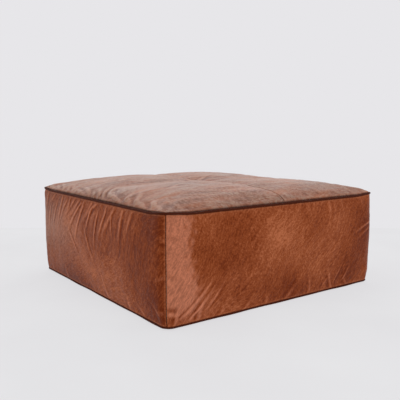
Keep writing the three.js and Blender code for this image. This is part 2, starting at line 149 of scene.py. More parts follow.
class Form:
    """The pouf's surfaces, from its sizes. Plan coordinates x and y each run over a sharp-cornered square,
    whose corners are drawn in to quarter circles."""

    EAR_REACH = 85 * MM  # how far from a corner its seam starts to lift
    DIP_REACH = 90 * MM  # how far from the middle the dip spreads
    PANEL_FACE = 3.05 * MM  # a top or base panel's visible face, off the seam's middle
    PANEL_INSET = 1.464 * MM  # and its rim, in from the seam line
    SIDE_EDGE = 3.014 * MM  # a side panel's edge, below or above the seam's middle
    BASE_EDGE_REACH = 24 * MM  # how far in the base lifts towards its seam
    CORNER_SWELL = 3.2 * MM  # how far a side stands out at its ends too, at half height
    BASE_TUCK = 4.5 * MM  # how far the base's rim is drawn in
    TUCK_REACH = 22 * MM  # how high up a side the tuck spreads
    PIPING_TUCK = 7 * MM  # the base piping hides half under the sides
    ZIP_RECESS = 7.3 * MM  # how deep the zip lies in the base
    ZIP_LANDING = 17 * MM  # half the width of the level strip round it
    ZIP_SLOPE = 23 * MM  # the width of the slope beside that
    ZIP_RUNOUT = 26 * MM  # the recess goes on past the zip, so that the pull tab clears the leather
    ZIP_FADE = 42 * MM  # the length of the slope at each of its ends
    ZIP_SLOT = 7 * MM  # half the opening beside the zip, which closes just past the zip's ends
    SLOT_END = 16 * MM  # past the zip, where the opening has closed
    SLOT_CLOSE = 13 * MM  # the length over which it closes

    def __init__(self, sizes):
        self.sizes = sizes
        self.half = (sizes.width / 2, sizes.depth / 2)
        self.halves = (self.half[0], self.half[1], self.half[0], self.half[1])
        self.zip_half = (ZIP_ROW[1].x - ZIP_ROW[0].x) / 2
        self.foot = sizes.base_seam + self.SIDE_EDGE

    def plan(self, x, y, out=0.0):
        """Where plan coordinates x and y are, with the rim `out` beyond the seam line."""
        corner = self.sizes.corner_radius
        straight = [half - corner for half in self.half]
        past_x, past_y = [(np.abs(v) - s) / corner for v, s in zip((x, y), straight)]
        radius = corner + out
        far, near = np.maximum(past_x, past_y), np.minimum(past_x, past_y)
        turn = np.where(near > 0, near / np.maximum(far, 1e-9), 0) * math.pi / 4
        along, across = far * radius * np.cos(turn), far * radius * np.sin(turn)
        wide, both = past_x >= past_y, near > 0

        def place(past, turned):
            return np.where(both, turned, np.where(past > 0, past * radius, past * corner))

        at_x = straight[0] + place(past_x, np.where(wide, along, across))
        at_y = straight[1] + place(past_y, np.where(wide, across, along))
        return np.sign(x) * at_x, np.sign(y) * at_y

    def rim(self, side, c, out=0.0):
        """A point of the rim: c runs along a side, and its ends turn the corners up to the diagonal."""
        half = self.halves[side]
        x = c * ALONG[side][0] + half * OUTWARD[side][0]
        y = c * ALONG[side][1] + half * OUTWARD[side][1]
        return self.plan(x, y, out)

    def ear(self, x, y):
        """How far the top seam lifts near a corner, at a point in plan."""
        corner = self.sizes.corner_radius * (1 - math.sqrt(0.5))
        away = np.hypot(np.abs(x) - self.half[0] + corner, np.abs(y) - self.half[1] + corner)
        return self.sizes.ear_rise * np.clip(1 - (away / self.EAR_REACH) ** 2, 0, 1) ** 2

    def seam_height(self, side, c):
        """Height of the top piping's middle along a side."""
        return self.sizes.seam_height + self.ear(*self.rim(side, c))

    def top(self, x, y):
        """A point of the top's visible face."""
        p, q = x / self.half[0], y / self.half[1]
        crown = self.sizes.crown_rise * np.sqrt(np.maximum(0, (1 - p**4) * (1 - q**4)))
        dip = self.sizes.centre_dip * np.exp(-(x * x + y * y) / self.DIP_REACH**2)
        height = self.sizes.seam_height + self.PANEL_FACE + self.ear(*self.plan(x, y)) + crown - dip
        at_x, at_y = self.plan(x, y, -self.PANEL_INSET)
        return np.stack([at_x, at_y, height], -1)

    def side(self, side, c, t):
        """A point of a side's visible face, at a share t of its height."""
        head = self.seam_height(side, c) - self.SIDE_EDGE
        belly = np.clip(4 * t * (1 - t), 0, 1)
        bulge = self.sizes.side_bulge * (1 - (c / self.halves[side]) ** 4) * belly
        tuck = self.BASE_TUCK * np.exp(-(((head - self.foot) * t / self.TUCK_REACH) ** 1.5))
        at_x, at_y = self.rim(side, c, bulge + self.CORNER_SWELL * belly**0.5 - tuck)
        return np.stack([at_x, at_y, self.foot + (head - self.foot) * t], -1)

    def recess(self, x, y, slope=ZIP_SLOPE):
        """The share of the zip's recess at a place on the base."""
        along = np.clip((self.zip_half + self.ZIP_RUNOUT + self.ZIP_FADE - np.abs(x)) / self.ZIP_FADE, 0, 1)
        return along * np.clip((self.ZIP_LANDING + slope - np.abs(y)) / slope, 0, 1)

    def slot_edge(self, x):
        """Half the opening between the base panels."""
        open_share = smooth((self.zip_half + self.SLOT_END - np.abs(x)) / self.SLOT_CLOSE)
        return self.sizes.seam_gap / 2 + (self.ZIP_SLOT - self.sizes.seam_gap / 2) * open_share

    def base(self, x, y):
        """A point of the base's visible face."""
        inward = np.minimum(self.half[0] - np.abs(x), self.half[1] - np.abs(y))
        edge_share = np.clip(1 - inward / self.BASE_EDGE_REACH, 0, 1)
        curl = (self.sizes.base_seam - self.PANEL_FACE) * edge_share**2
        at_x, at_y = self.plan(x, y, -self.PANEL_INSET - self.BASE_TUCK)
        return np.stack([at_x, at_y, curl + self.ZIP_RECESS * self.recess(x, y)], -1)


# ------------------------------------------------------------------------------------------------ folds


def crease(u, v, start, heading, reach, width, height, bend=0.0, root=0.3):
    """A fold's height over surface coordinates u and v: a ridge with a hollow beside it, which swells from
    its root at `start` and fades out along its heading."""
    away_u, away_v = u - start[0], v - start[1]
    share = (away_u * math.cos(heading) + away_v * math.sin(heading)) / reach
    across = away_v * math.cos(heading) - away_u * math.sin(heading) - bend * reach * share**2
    swell = (root + (1 - root) * smooth(share / 0.25)) * np.clip(1 - share, 0, 1) ** 1.3
    swell = np.where(share > 0, swell, root * np.exp(-((share * reach / width) ** 2)))
    spread = width * (1 + 0.6 * np.clip(share, 0, 1))
    ridge = np.exp(-((across / spread) ** 2)) - 0.75 * np.exp(-(((across - 1.75 * spread) / spread) ** 2))
    return height * swell * ridge


def patch(u, v, middle, reach, amount):
    """A soft patch on a surface."""
    return amount * np.exp(-(((u - middle[0]) / reach[0]) ** 2) - ((v - middle[1]) / reach[1]) ** 2)


def unevenness(seed, u, v, wave, count=9):
    """A gentle random swell over surface coordinates, about -1 to 1, whose waves are near `wave` long."""
    draw = np.random.default_rng(seed)
    total = np.zeros_like(u + v)
    for heading, stretch, phase in draw.random((count, 3)):
        turn, pulse = heading * 2 * math.pi, 2 * math.pi / wave * (0.6 + 0.8 * stretch)
        total += np.cos(pulse * (u * math.cos(turn) + v * math.sin(turn)) + phase * 2 * math.pi)
    return total / math.sqrt(count) / 1.2


FoldRun = namedtuple("FoldRun", "lean scatter reach width height pitch")  # angles in radians


def edge_folds(draw, u, v, edge, span, inward, run):
    """A run of folds that start on an edge. `edge(place)` gives a fold's root, and `inward` its heading."""
    total = np.zeros_like(u + v)
    place = span[0]
    while place < span[1]:
        lean = run.lean + run.scatter * (draw.random() - 0.5)
        reach = run.reach * (0.6 + 0.8 * draw.random())
        width = run.width * (0.75 + 0.5 * draw.random())
        height = run.height * (0.45 + 0.9 * draw.random())
        bend = 0.3 * (draw.random() - 0.5)
        total += crease(u, v, edge(place), inward + lean, reach, width, height, bend)
        place += run.pitch * (0.65 + 0.7 * draw.random())
    return total


def freed(away, held, reach):
    """How freely leather stands off near a seam: a share `held` at the seam, and 1 from `reach` away."""
    return held + (1 - held) * smooth(away / reach)


CROSS_PULLS = ((2.4 * MM, 9 * MM), (2.0 * MM, 34 * MM))  # depth and reach of the groove and of its dip
CROSS_EASE = 0.3  # from the middle of the cross seam, where its pull starts to ease off
CROSS_EASE_LENGTH = 0.13  # and how far it takes to end


def cross_pull(x, y):
    """How far the cross seam pulls the top in."""
    total = np.zeros_like(x + y)
    for arm, across in ((x, y), (y, x)):
        pulled = sum(depth * np.exp(-np.abs(across) / reach) for depth, reach in CROSS_PULLS)
        total -= pulled * (1 - smooth((np.abs(arm) - CROSS_EASE) / CROSS_EASE_LENGTH))
    return total


TOP_RIM_HOLD = (0.12, 16 * MM)  # how the top's rim holds its folds down: for freed()
SIDE_RIM_HOLD = (0.1, 14 * MM)  # and a side's
TOP_SAGS = (((0.27, 0.0), (0.13, 0.3), 11 * MM), ((-0.3, 0.1), (0.14, 0.3), 5 * MM))  # place, reach, depth
SAG_RIM = 0.06  # how far in from the rim the sags reach their depth


def top_stand(form, x, y):
    """How far the top stands off its plain form: its folds, its uneven filling and where it sags."""
    inward = np.minimum(form.half[0] - np.abs(x), form.half[1] - np.abs(y))
    uneven = 0.9 * MM * unevenness(5, x * 0.45, y, 0.12) + 0.6 * MM * unevenness(6, x * 0.35, y, 0.04)
    sag = sum(patch(x, y, *numbers) for numbers in TOP_SAGS)
    return top_folds(form, x, y) + uneven * freed(inward, *TOP_RIM_HOLD) - sag * smooth(inward / SAG_RIM)


MIDDLE_CREASES = 11


def top_folds(form, x, y):
    """The top's folds: they start on its edges, and creases run out from the middle of the cross seam."""
    depth, (half_x, half_y) = form.sizes.fold_depth, form.half
    draw = np.random.default_rng(21)
    total = np.zeros_like(x + y)
    left = FoldRun(lean=1.0, scatter=0.7, reach=0.12, width=6 * MM, height=2.0 * depth, pitch=38 * MM)
    total += edge_folds(draw, x, y, lambda c: (-half_x, c), (-half_y + 0.02, 0.12), 0.0, left)
    left = left._replace(height=0.9 * depth, reach=0.13)
    total += edge_folds(draw, x, y, lambda c: (-half_x, c), (0.14, half_y - 0.05), 0.0, left)
    inner = FoldRun(lean=0.2, scatter=1.1, reach=0.2, width=9 * MM, height=0.25 * depth, pitch=70 * MM)
    total += edge_folds(draw, x, y, lambda c: (-half_x + 0.16, c), (-half_y + 0.1, 0.3), 0.0, inner)
    rest = FoldRun(lean=0.0, scatter=0.8, reach=0.1, width=9 * MM, height=0.42 * depth, pitch=62 * MM)
    end_x, end_y = half_x - 0.04, half_y - 0.04
    total += edge_folds(draw, x, y, lambda c: (half_x, c), (-end_y, end_y), math.pi, rest)
    total += edge_folds(draw, x, y, lambda c: (c, half_y), (-end_x, end_x), -math.pi / 2, rest)
    rest = rest._replace(height=0.25 * depth, pitch=75 * MM)
    total += edge_folds(draw, x, y, lambda c: (c, -half_y), (-half_x + 0.07, end_x), math.pi / 2, rest)
    for turn in range(MIDDLE_CREASES):
        heading = turn * 2 * math.pi / MIDDLE_CREASES + 0.4 * draw.random()
        reach, height = 0.12 + 0.12 * draw.random(), -(0.3 + 0.3 * draw.random()) * depth
        total += crease(x, y, (0.0, 0.0), heading, reach, 7 * MM, 1.3 * height, root=0.1)
    inward = np.minimum(half_x - np.abs(x), half_y - np.abs(y))
    return total * freed(inward, *TOP_RIM_HOLD)


SIDE_FOLDS = {  # by side: start, end, pitch and lean of the folds under the top seam, their reach and height
    "front": (0.10, 0.42, 0.085, 0.1, 0.09, 0.2),
    "right": (-0.40, 0.40, 0.070, 0.1, 0.11, 0.4),
    "back": (-0.40, 0.40, 0.058, -0.1, 0.13, 0.5),
    "left": (-0.42, 0.3, 0.052, -0.62, 0.12, 0.55),
}


def side_stand(form, side, c, z):
    """How far a side stands off its plain form: its folds, and its uneven filling."""
    ends = np.minimum(form.sizes.seam_height - z, z - form.sizes.base_seam)
    uneven = 1.0 * MM * unevenness(60 + side, c, z, 0.16) + 0.35 * MM * unevenness(70 + side, c, z, 0.035)
    return side_folds(form, side, c, z) + uneven * freed(ends, *SIDE_RIM_HOLD)


def side_folds(form, side, c, z):
    """A side's folds: runs of them from its edges, and single creases."""
    name, depth, half = SIDE_NAMES[side], form.sizes.fold_depth, form.halves[side]
    start, end, pitch, lean, reach, height = SIDE_FOLDS[name]
    draw = np.random.default_rng(40 + side)
    head = FoldRun(lean, scatter=0.9, reach=reach, width=5 * MM, height=height * depth, pitch=pitch)
    top = form.sizes.seam_height
    total = edge_folds(draw, c, z, lambda place: (place, top), (start, end), -math.pi / 2, head)
    foot = FoldRun(lean=0.0, scatter=1.8, reach=0.1, width=6 * MM, height=0.27 * depth, pitch=95 * MM)
    foot_end = half - 0.03
    total += edge_folds(draw, c, z, lambda place: (place, 0.0), (-foot_end, foot_end), math.pi / 2, foot)
    corner = FoldRun(lean=0.0, scatter=0.9, reach=0.07, width=7 * MM, height=0.2 * depth, pitch=0.08)
    for end_sign, inward in ((-1, 0.0), (1, math.pi)):
        total += edge_folds(draw, c, z, lambda place: (end_sign * half, place), (0.05, 0.3), inward, corner)
    for start_fold, heading, fold_reach, fold_height in SIDE_CREASES[name]:
        total += crease(c, z, start_fold, heading, fold_reach, CREASE_WIDTH, fold_height * depth, CREASE_BEND)
    ends = np.minimum(top - z, z - form.sizes.base_seam)
    return total * freed(ends, *SIDE_RIM_HOLD)


CREASE_WIDTH = 3.4 * MM
CREASE_BEND = 0.15
SIDE_CREASES = {  # single creases: where each starts as (c, z), its heading, reach and height
    "front": [
        ((-0.40, 0.03), 0.62, 0.17, 0.5),
        ((-0.37, 0.02), 0.68, 0.15, 0.4),
        ((-0.30, 0.04), 0.8, 0.12, -0.3),
        ((0.18, 0.02), 0.85, 0.13, 0.28),
        ((0.25, 0.03), 0.95, 0.12, -0.28),
        ((0.29, 0.03), 1.0, 0.1, 0.3),
        ((0.45, 0.23), 3.3, 0.14, 0.55),
        ((0.44, 0.21), 3.4, 0.1, 0.3),
    ],
    "right": [((-0.43, 0.2), -0.3, 0.12, 0.4), ((0.3, 0.02), 1.2, 0.1, 0.4)],
    "back": [((0.2, 0.03), 1.0, 0.14, 0.4), ((-0.3, 0.02), 2.0, 0.12, 0.4)],
    "left": [
        ((0.43, 0.03), 2.4, 0.12, 0.25),
        ((0.1, 0.02), 1.9, 0.12, 0.3),
        ((-0.08, 0.31), -2.44, 0.15, 1.0),
        ((-0.06, 0.3), -2.2, 0.14, 0.9),
        ((0.01, 0.31), -2.15, 0.12, 1.0),
        ((0.055, 0.29), -1.9, 0.13, 1.05),
        ((0.11, 0.3), -2.14, 0.11, 0.8),
        ((0.15, 0.3), -1.6, 0.08, 0.6),
        ((-0.04, 0.23), -1.17, 0.15, 0.6),
        ((-0.17, 0.21), -1.0, 0.13, 0.5),
        ((-0.2, 0.31), -2.28, 0.13, 0.7),
        ((-0.29, 0.3), -2.0, 0.14, 0.6),
        ((-0.35, 0.28), -1.9, 0.12, 0.5),
    ],
}


# ----------------------------------------------------------------------------------------- settled cover

SETTLED = {}  # offsets that the cloth simulation gave: the top's and each side's, on even grids
SETTLE_FRAMES = 20
SETTLE_LIMIT = 9 * MM


def sampled(field, rows, columns):
    """Cubic interpolation in a grid of vectors, at fractional row and column numbers."""
    whole_r, whole_c = np.floor(rows).astype(int), np.floor(columns).astype(int)

    def weights(t):
        return (
            (-t + 2 * t**2 - t**3) / 2,
            (2 - 5 * t**2 + 3 * t**3) / 2,
            (t + 4 * t**2 - 3 * t**3) / 2,
            (t**3 - t**2) / 2,
        )

    row_weights, column_weights = weights(rows - whole_r), weights(columns - whole_c)
    total = 0
    for i, row_weight in enumerate(row_weights):
        r = np.clip(whole_r + i - 1, 0, field.shape[0] - 1)
        for j, column_weight in enumerate(column_weights):
            c = np.clip(whole_c + j - 1, 0, field.shape[1] - 1)
            total = total + (row_weight * column_weight)[..., None] * field[r, c]
    return total


def settle_sheet(name, points, pins, slack, closed=False):
    """Blender's cloth simulation of one sheet of cover leather, a little larger than its place: the filling
    presses it out, and its seams hold it. Gives how far each point moves."""
    rows, columns = points.shape[:2]
    faces = grid_faces(rows, columns, closed_rows=closed)
    sheet = make_object(name, points, faces, finish("pull_up_leather"))
    for label, weights in (("pins", pins), ("slack", slack)):
        group = sheet.vertex_groups.new(name=label)
        for index, weight in enumerate(np.ravel(weights)):
            group.add([index], float(weight), "REPLACE")
    modifier = sheet.modifiers.new("Settle", "CLOTH")
    cloth = modifier.settings
    cloth.quality, cloth.mass, cloth.time_scale = 5, 0.4, 1.0
    cloth.tension_stiffness, cloth.compression_stiffness, cloth.shear_stiffness = 30, 30, 12
    cloth.bending_stiffness, cloth.air_damping = 1.2, 3.0
    cloth.tension_damping, cloth.compression_damping, cloth.shear_damping = 12, 12, 12
    cloth.vertex_group_mass, cloth.pin_stiffness = "pins", 1.0
    cloth.vertex_group_shrink, cloth.shrink_min, cloth.shrink_max = "slack", 0.0, -0.07
    cloth.use_pressure, cloth.uniform_pressure_force = True, 4.0
    cloth.effector_weights.gravity = 0
    modifier.collision_settings.use_collision = False
    modifier.point_cache.frame_start, modifier.point_cache.frame_end = 1, SETTLE_FRAMES
    scene = bpy.context.scene
    for number in range(1, SETTLE_FRAMES + 1):
        scene.frame_set(number)
    shape = sheet.evaluated_get(bpy.context.evaluated_depsgraph_get()).data
    moved = np.zeros(rows * columns * 3, np.float32)
    shape.vertices.foreach_get("co", moved)
    offsets = moved.reshape(rows, columns, 3).astype(float) - points
    scene.frame_set(1)
    bpy.data.objects.remove(sheet)
    return capped(offsets, SETTLE_LIMIT)


def capped(offsets, limit):
    """Offsets drawn in smoothly, so that none is longer than a limit."""
    long = np.linalg.norm(offsets, axis=-1, keepdims=True)
    return offsets * np.tanh(long / limit) * limit / np.maximum(long, 1e-9)


def settled_top(x, y, form):
    """The simulation's offsets of the top, at plan coordinates."""
    if "top" not in SETTLED:
        return 0.0
    field = SETTLED["top"]
    places = [(v / half + 1) / 2 * (n - 1) for v, half, n in zip((x, y), form.half, field.shape)]
    return sampled(field, *places)


def settled_side(side, c, t, form):
    """The simulation's offsets of a side, at a place along it and a share of its height."""
    if side not in SETTLED:
        return 0.0
    field = SETTLED[side]
    half = form.halves[side]
    return sampled(field, (c / half + 1) / 2 * (field.shape[0] - 1), t * (field.shape[1] - 1))


def cover_top(form, x, y):
    """The top's visible face, as it is finished."""
    points = form.top(x, y)
    stand = top_stand(form, x, y) + cross_pull(x, y)
    return points + normals(points) * stand[..., None] + settled_top(x, y, form)


def cover_side(form, side, c, t):
    """A side's visible face, as it is finished."""
    points = form.side(side, c, t)
    z = form.foot + (form.sizes.seam_height - form.foot) * t
    return points + normals(points) * side_stand(form, side, c, z)[..., None] + settled_side(side, c, t, form)


ROLL_DEPTH, ROLL_REACH = 1.3 * MM, 2.6 * MM
ROLL_RIDGE, ROLL_RIDGE_PLACE = 0.55 * MM, 5 * MM


def seam_roll(away):
    """How a panel's face sinks into a sewn seam, and the low ridge that its turned-in edge makes."""
    sunk = ROLL_DEPTH * np.clip(1 - away / ROLL_REACH, 0, 1) ** 2
    return ROLL_RIDGE * np.exp(-(((away - ROLL_RIDGE_PLACE) / ROLL_REACH) ** 2)) - sunk


def normals(points):
    """Unit normals of a grid of points."""
    across = np.cross(np.gradient(points, axis=0), np.gradient(points, axis=1))
    return across / np.maximum(np.linalg.norm(across, axis=-1, keepdims=True), 1e-12)


# ---------------------------------------------------------------------------------------------- meshes

EDGE_STEPS = np.array([0, 0.5, 1.0, 1.6, 2.4, 3.4, 4.8, 6.6, 9.0]) * MM


def stations(low, high, pitch):
    """Places along a span, closer together at both ends, where leather rolls into its seams."""
    count = max(2, round((high - low - 2 * EDGE_STEPS[-1]) / pitch))
    middle = np.linspace(low + EDGE_STEPS[-1], high - EDGE_STEPS[-1], count + 1)[1:-1]
    return np.concatenate([low + EDGE_STEPS, middle, high - EDGE_STEPS[::-1]])


def make_object(name, points, faces, material, fields=None):
    """A smooth mesh object at the origin. `fields` are point attributes: numbers, or vectors of three."""
    mesh = bpy.data.meshes.new(name)
    mesh.from_pydata(np.asarray(points, float).reshape(-1, 3).tolist(), [], np.asarray(faces).tolist())
    for label, values in (fields or {}).items():
        vector = np.ndim(values) > 0 and np.shape(values)[-1] == 3
        kind, key = ("FLOAT_VECTOR", "vector") if vector else ("FLOAT", "value")
        data = np.asarray(values, np.float32).ravel()
        mesh.attributes.new(label, kind, "POINT").data.foreach_set(key, data)
    mesh.materials.append(material)
    mesh.shade_smooth()
    piece = bpy.data.objects.new(name, mesh)
    bpy.context.scene.collection.objects.link(piece)
    return piece


def grid_faces(rows, columns, closed_rows=False, closed_columns=False, flip=False):
    """Quads over a grid of points, wrapped round where it is closed."""
    index = np.arange(rows * columns).reshape(rows, columns)
    if closed_rows:
        index = np.concatenate([index, index[:1]], 0)
    if closed_columns:
        index = np.concatenate([index, index[:, :1]], 1)
    quad = [index[:-1, :-1], index[1:, :-1], index[1:, 1:], index[:-1, 1:]]
    return np.stack(quad[::-1] if flip else quad, -1).reshape(-1, 4)


def make_grid(name, points, material, flip=False, fields=None):
    """A sheet from a grid of points."""
    return make_object(name, points, grid_faces(*points.shape[:2], flip=flip), material, fields)


def make_block(name, low, high, material):
    """A closed solid between two grids of points, one over the other."""
    rows, columns = low.shape[:2]
    count = rows * columns
    index = np.arange(count).reshape(rows, columns)
    loop = np.concatenate([index[:-1, 0], index[-1, :-1], index[:0:-1, -1], index[0, :0:-1]])
    after = np.roll(loop, -1)
    wall = np.stack([loop, after, after + count, loop + count], -1)
    faces = [grid_faces(rows, columns, flip=True), grid_faces(rows, columns) + count, wall]
    return make_object(name, np.concatenate([low, high]), np.concatenate(faces), material)


def thicken(piece, thickness):
    """Gives a sheet its thickness, inwards from its visible face."""
    shell = piece.modifiers.new("Thickness", "SOLIDIFY")
    shell.thickness, shell.offset = thickness, -1
    shell.use_quality_normals = True
    return piece


# ------------------------------------------------------------------------------------------- materials


class Wire:
    """One output of a shader tree. Arithmetic on it adds Math nodes."""

    def __init__(self, finish, socket):
        self.finish, self.socket = finish, socket

    def _math(self, operation, first, second):
        return self.finish.add("ShaderNodeMath", {"operation": operation}, {0: first, 1: second})

    def __add__(self, other):
        return self._math("ADD", self, other)

    def __sub__(self, other):
        return self._math("SUBTRACT", self, other)

    def __rsub__(self, other):
        return self._math("SUBTRACT", other, self)

    def __mul__(self, other):
        return self._math("MULTIPLY", self, other)

    __radd__, __rmul__ = __add__, __mul__


class Finish:
    """A material and its shader tree."""

    def __init__(self, name):
        self.material = bpy.data.materials.new(name)
        self.material.use_nodes = True
        self.tree = self.material.node_tree
        self.shader = next(node for node in self.tree.nodes if node.type == "BSDF_PRINCIPLED")

    def add(self, kind, settings=None, inputs=None, output=0):
        """Adds a node: its settings, then the values or wires of its sockets. Gives one of its outputs."""
        node = self.tree.nodes.new(kind)
        for key, value in (settings or {}).items():
            if key == "stops":
                ramp = node.color_ramp.elements
                while len(ramp) < len(value):
                    ramp.new(0.5)
                for element, (place, shade) in zip(ramp, value):
                    element.position, element.color = place, (*shade, 1)
            else:
                setattr(node, key, value)
        for key, value in (inputs or {}).items():
            self.feed(node.inputs[key], value)
        return Wire(self, node.outputs[output])

    def feed(self, socket, value):
        """Links a wire to a socket, or sets its value."""
        if isinstance(value, Wire):
            self.tree.links.new(value.socket, socket)
        elif socket.type == "RGBA":
            socket.default_value = (*value, 1)
        else:
            socket.default_value = value

    def set(self, **inputs):
        """Sets or feeds the surface shader's sockets, named with underscores for spaces."""
        for key, value in inputs.items():
            self.feed(self.shader.inputs[key.replace("_", " ")], value)
        return self.material

    def place(self):
        return self.add("ShaderNodeTexCoord", output="Object")

    def attribute(self, name, output="Fac"):
        return self.add("ShaderNodeAttribute", {"attribute_name": name}, output=output)

    def noise(self, place, scale, detail=2.0, roughness=0.5, distortion=0.0):
        inputs = {"Vector": place, "Scale": scale, "Detail": detail, "Roughness": roughness}
        return self.add("ShaderNodeTexNoise", None, {**inputs, "Distortion": distortion})

    def cells(self, place, scale):
        return self.add("ShaderNodeTexVoronoi", {"feature": "F1"}, {"Vector": place, "Scale": scale})

    def stretch(self, place, scales):
        return self.add("ShaderNodeMapping", None, {"Vector": place, "Scale": scales})

    def ramp(self, value, low, high, below=0.0, above=1.0):
        """Maps a span of a wire's values to 0..1, or to the two values given, with an S curve."""
        inputs = {"Value": value, "From Min": low, "From Max": high, "To Min": below, "To Max": above}
        return self.add("ShaderNodeMapRange", {"interpolation_type": "SMOOTHSTEP"}, inputs)

    def mix(self, share, first, second):
        inputs = {0: share, 6: first, 7: second}
        return self.add("ShaderNodeMix", {"data_type": "RGBA"}, inputs, output=2)

    def bump(self, height, strength, distance, normal=None):
        inputs = {"Height": height, "Strength": strength, "Distance": distance}
        if normal:
            inputs["Normal"] = normal
        return self.add("ShaderNodeBump", None, inputs)


def dimmed(tint, share):
    """A colour with each of its channels scaled."""
    return [value * share for value in tint]


def leather_finish(finishes):
    """Pull-up leather: cloudy colour with brushed streaks along the hide, pale patches of painted sheen, a
    pebbled grain, lighter bands beside the seams, painted shade in the seams, a painted grey sheen on the top
    and the far end of the left side, and painted fold shading: highlights on the crests, shade in the
    hollows."""
    leather = Finish("pull_up_leather")
    place = leather.attribute("hide", "Vector")
    clouds = leather.noise(place, 4.5, 3.0, 0.5, 0.3)
    mottle = leather.noise(leather.stretch(place, (0.7, 1, 1)), 30, 3.0, 0.55, 0.5)
    flecks = leather.noise(leather.stretch(place, (0.65, 1, 1)), 170, 3.0, 0.6, 0.35)
    hairs = leather.noise(leather.stretch(place, (0.16, 1, 1)), 150, 3.0, 0.6, 0.2)
    fine = leather.noise(leather.stretch(place, (0.6, 1, 1)), 420, 3.0, 0.6)
    drawn = leather.noise(leather.stretch(place, (0.22, 1, 1)), 34, 3.0, 0.55, 0.6)
    pebble = leather.cells(place, 560)
    seam, ridge = leather.attribute("seam"), leather.attribute("ridge")
    # Painted fold shading: highlights on fold crests and shade in their hollows, which lighten or darken the
    # tone and add to both painted sheens.
    crest = leather.attribute("crest")
    tone = leather.attribute("tone") + crest * 0.16
    shade = clouds * 0.3 + mottle * 0.25 + flecks * 0.7 + hairs * 0.4 + fine * 0.5 + tone
    colours = leather.mix(leather.ramp(shade, 0.8, 1.08), finishes.leather_dark, finishes.leather)
    colours = leather.mix(leather.ramp(shade, 1.02, 1.39), colours, finishes.leather_light)
    nap = leather.ramp(flecks * 0.5 + hairs * 0.35 + fine * 0.35 + crest * 0.07, 0.42, 0.78)
    # Painted sheen: pale patches that stand in for reflections of the bright room, brighter still on fold
    # crests.
    highlight_colour = leather.mix(nap, dimmed(finishes.leather_bloom, 0.7), dimmed(finishes.leather_bloom, 1.38))
    dust = leather.mix(nap, dimmed(finishes.leather_dusty, 0.74), dimmed(finishes.leather_dusty, 1.24))
    highlighted = leather.ramp(leather.attribute("bloom") + crest * 0.45, 0.02, 0.98)
    colours = leather.mix(highlighted, colours, highlight_colour)
    colours = leather.mix(ridge * leather.ramp(flecks, 0.35, 0.6, 0.2, 0.55), colours, finishes.leather_light)
    # Painted grey sheen, broken up by the hide's texture and the fold shading: it stands in for the
    # reflection of the bright room at grazing angles.
    sheen_breakup = drawn * 0.4 + flecks * 0.8 + crest * 0.08
    sheened = leather.attribute("dust") * leather.ramp(sheen_breakup, 0.45, 0.78, 0.4, 1.0)
    colours = leather.mix(sheened, colours, dust)
    # Painted shade in the seams, in the piping's dark colour.
    colours = leather.mix(seam * 0.7, colours, finishes.piping)
    grain = leather.bump(pebble + fine * 0.5, 0.5, 0.0006)
    brushed = leather.bump(flecks * 0.8 + hairs * 0.5, 0.28, 0.0014, grain)
    surface = leather.bump(drawn * 0.9 + mottle * 0.4, 0.35, 0.007, brushed)
    rough = leather.ramp(mottle * 0.5 + hairs * 0.5, 0.35, 0.65, 0.36, 0.5) + seam * 0.1
    sheen = {"Sheen_Weight": 0.08, "Sheen_Roughness": 0.35}
    return leather.set(Base_Color=colours, Roughness=rough, Normal=surface, Specular_IOR_Level=0.05, **sheen)


def piping_finish(finishes):
    """The piping's darker leather, stretched round its cord."""
    leather = Finish("corded_leather")
    place = leather.place()
    clouds = leather.noise(place, 40, 3.0, 0.6)
    pebble = leather.cells(place, 900)
    colours = leather.mix(leather.ramp(clouds, 0.5, 0.8, 0.0, 0.3), finishes.piping, finishes.leather_dark)
    grain = leather.bump(pebble + clouds, 0.3, 0.0005)
    rough = leather.ramp(clouds, 0.3, 0.7, 0.5, 0.65)
    return leather.set(Base_Color=colours, Roughness=rough, Normal=grain, Specular_IOR_Level=0.05)


WAVE_DIVISOR = 12.566  # a cloth's fineness over this is its Wave Texture's scale


def cloth_finish(name, tint, dark, fineness, rough, depth=0.0002):
    """Plain woven cloth. It has about a quarter of `fineness` bands to the metre, each way."""
    cloth = Finish(name)
    place = cloth.place()
    waves = [
        cloth.add(
            "ShaderNodeTexWave",
            {"wave_type": "BANDS", "bands_direction": axis},
            {"Vector": place, "Scale": fineness / WAVE_DIVISOR, "Distortion": 0.6, "Detail": 1.0},
            "Fac",
        )
        for axis in ("X", "Y", "Z")
    ]
    weave = waves[0] * waves[1] + waves[2] * 0.5
    slubs = cloth.noise(place, 180, 3.0, 0.6)
    soil = cloth.noise(place, 8, 3.0, 0.5)
    colours = cloth.mix(cloth.ramp(weave + slubs * 0.6, 0.2, 1.2), dark, tint)
    colours = cloth.mix(cloth.ramp(soil, 0.55, 0.8, 0.0, 0.25), colours, dark)
    return cloth.set(Base_Color=colours, Roughness=rough, Normal=cloth.bump(weave + slubs * 0.5, 0.5, depth))


def twisted_finish(name, tint, dark, scale):
    """Twisted yarn, for thread and cord: fine fibres along the strand."""
    yarn = Finish(name)
    place = yarn.place()
    fibres = yarn.noise(place, scale, 4.0, 0.7, 0.5)
    strands = yarn.cells(place, scale * 0.5)
    colours = yarn.mix(yarn.ramp(fibres + strands * 0.4, 0.4, 0.9), dark, tint)
    relief = yarn.bump(fibres + strands, 0.5, 0.0002)
    return yarn.set(Base_Color=colours, Roughness=0.75, Normal=relief, Specular_IOR_Level=0.1)


def foam_finish(name, tint, dark, scale, depth):
    """Open-celled foam or matted fibre."""
    foam = Finish(name)
    place = foam.place()
    cells = foam.cells(place, scale)
    haze = foam.noise(place, 14, 4.0, 0.6)
    colours = foam.mix(foam.ramp(cells + haze, 0.4, 1.1), dark, tint)
    return foam.set(Base_Color=colours, Roughness=0.95, Normal=foam.bump(cells + haze * 0.6, 0.6, depth))


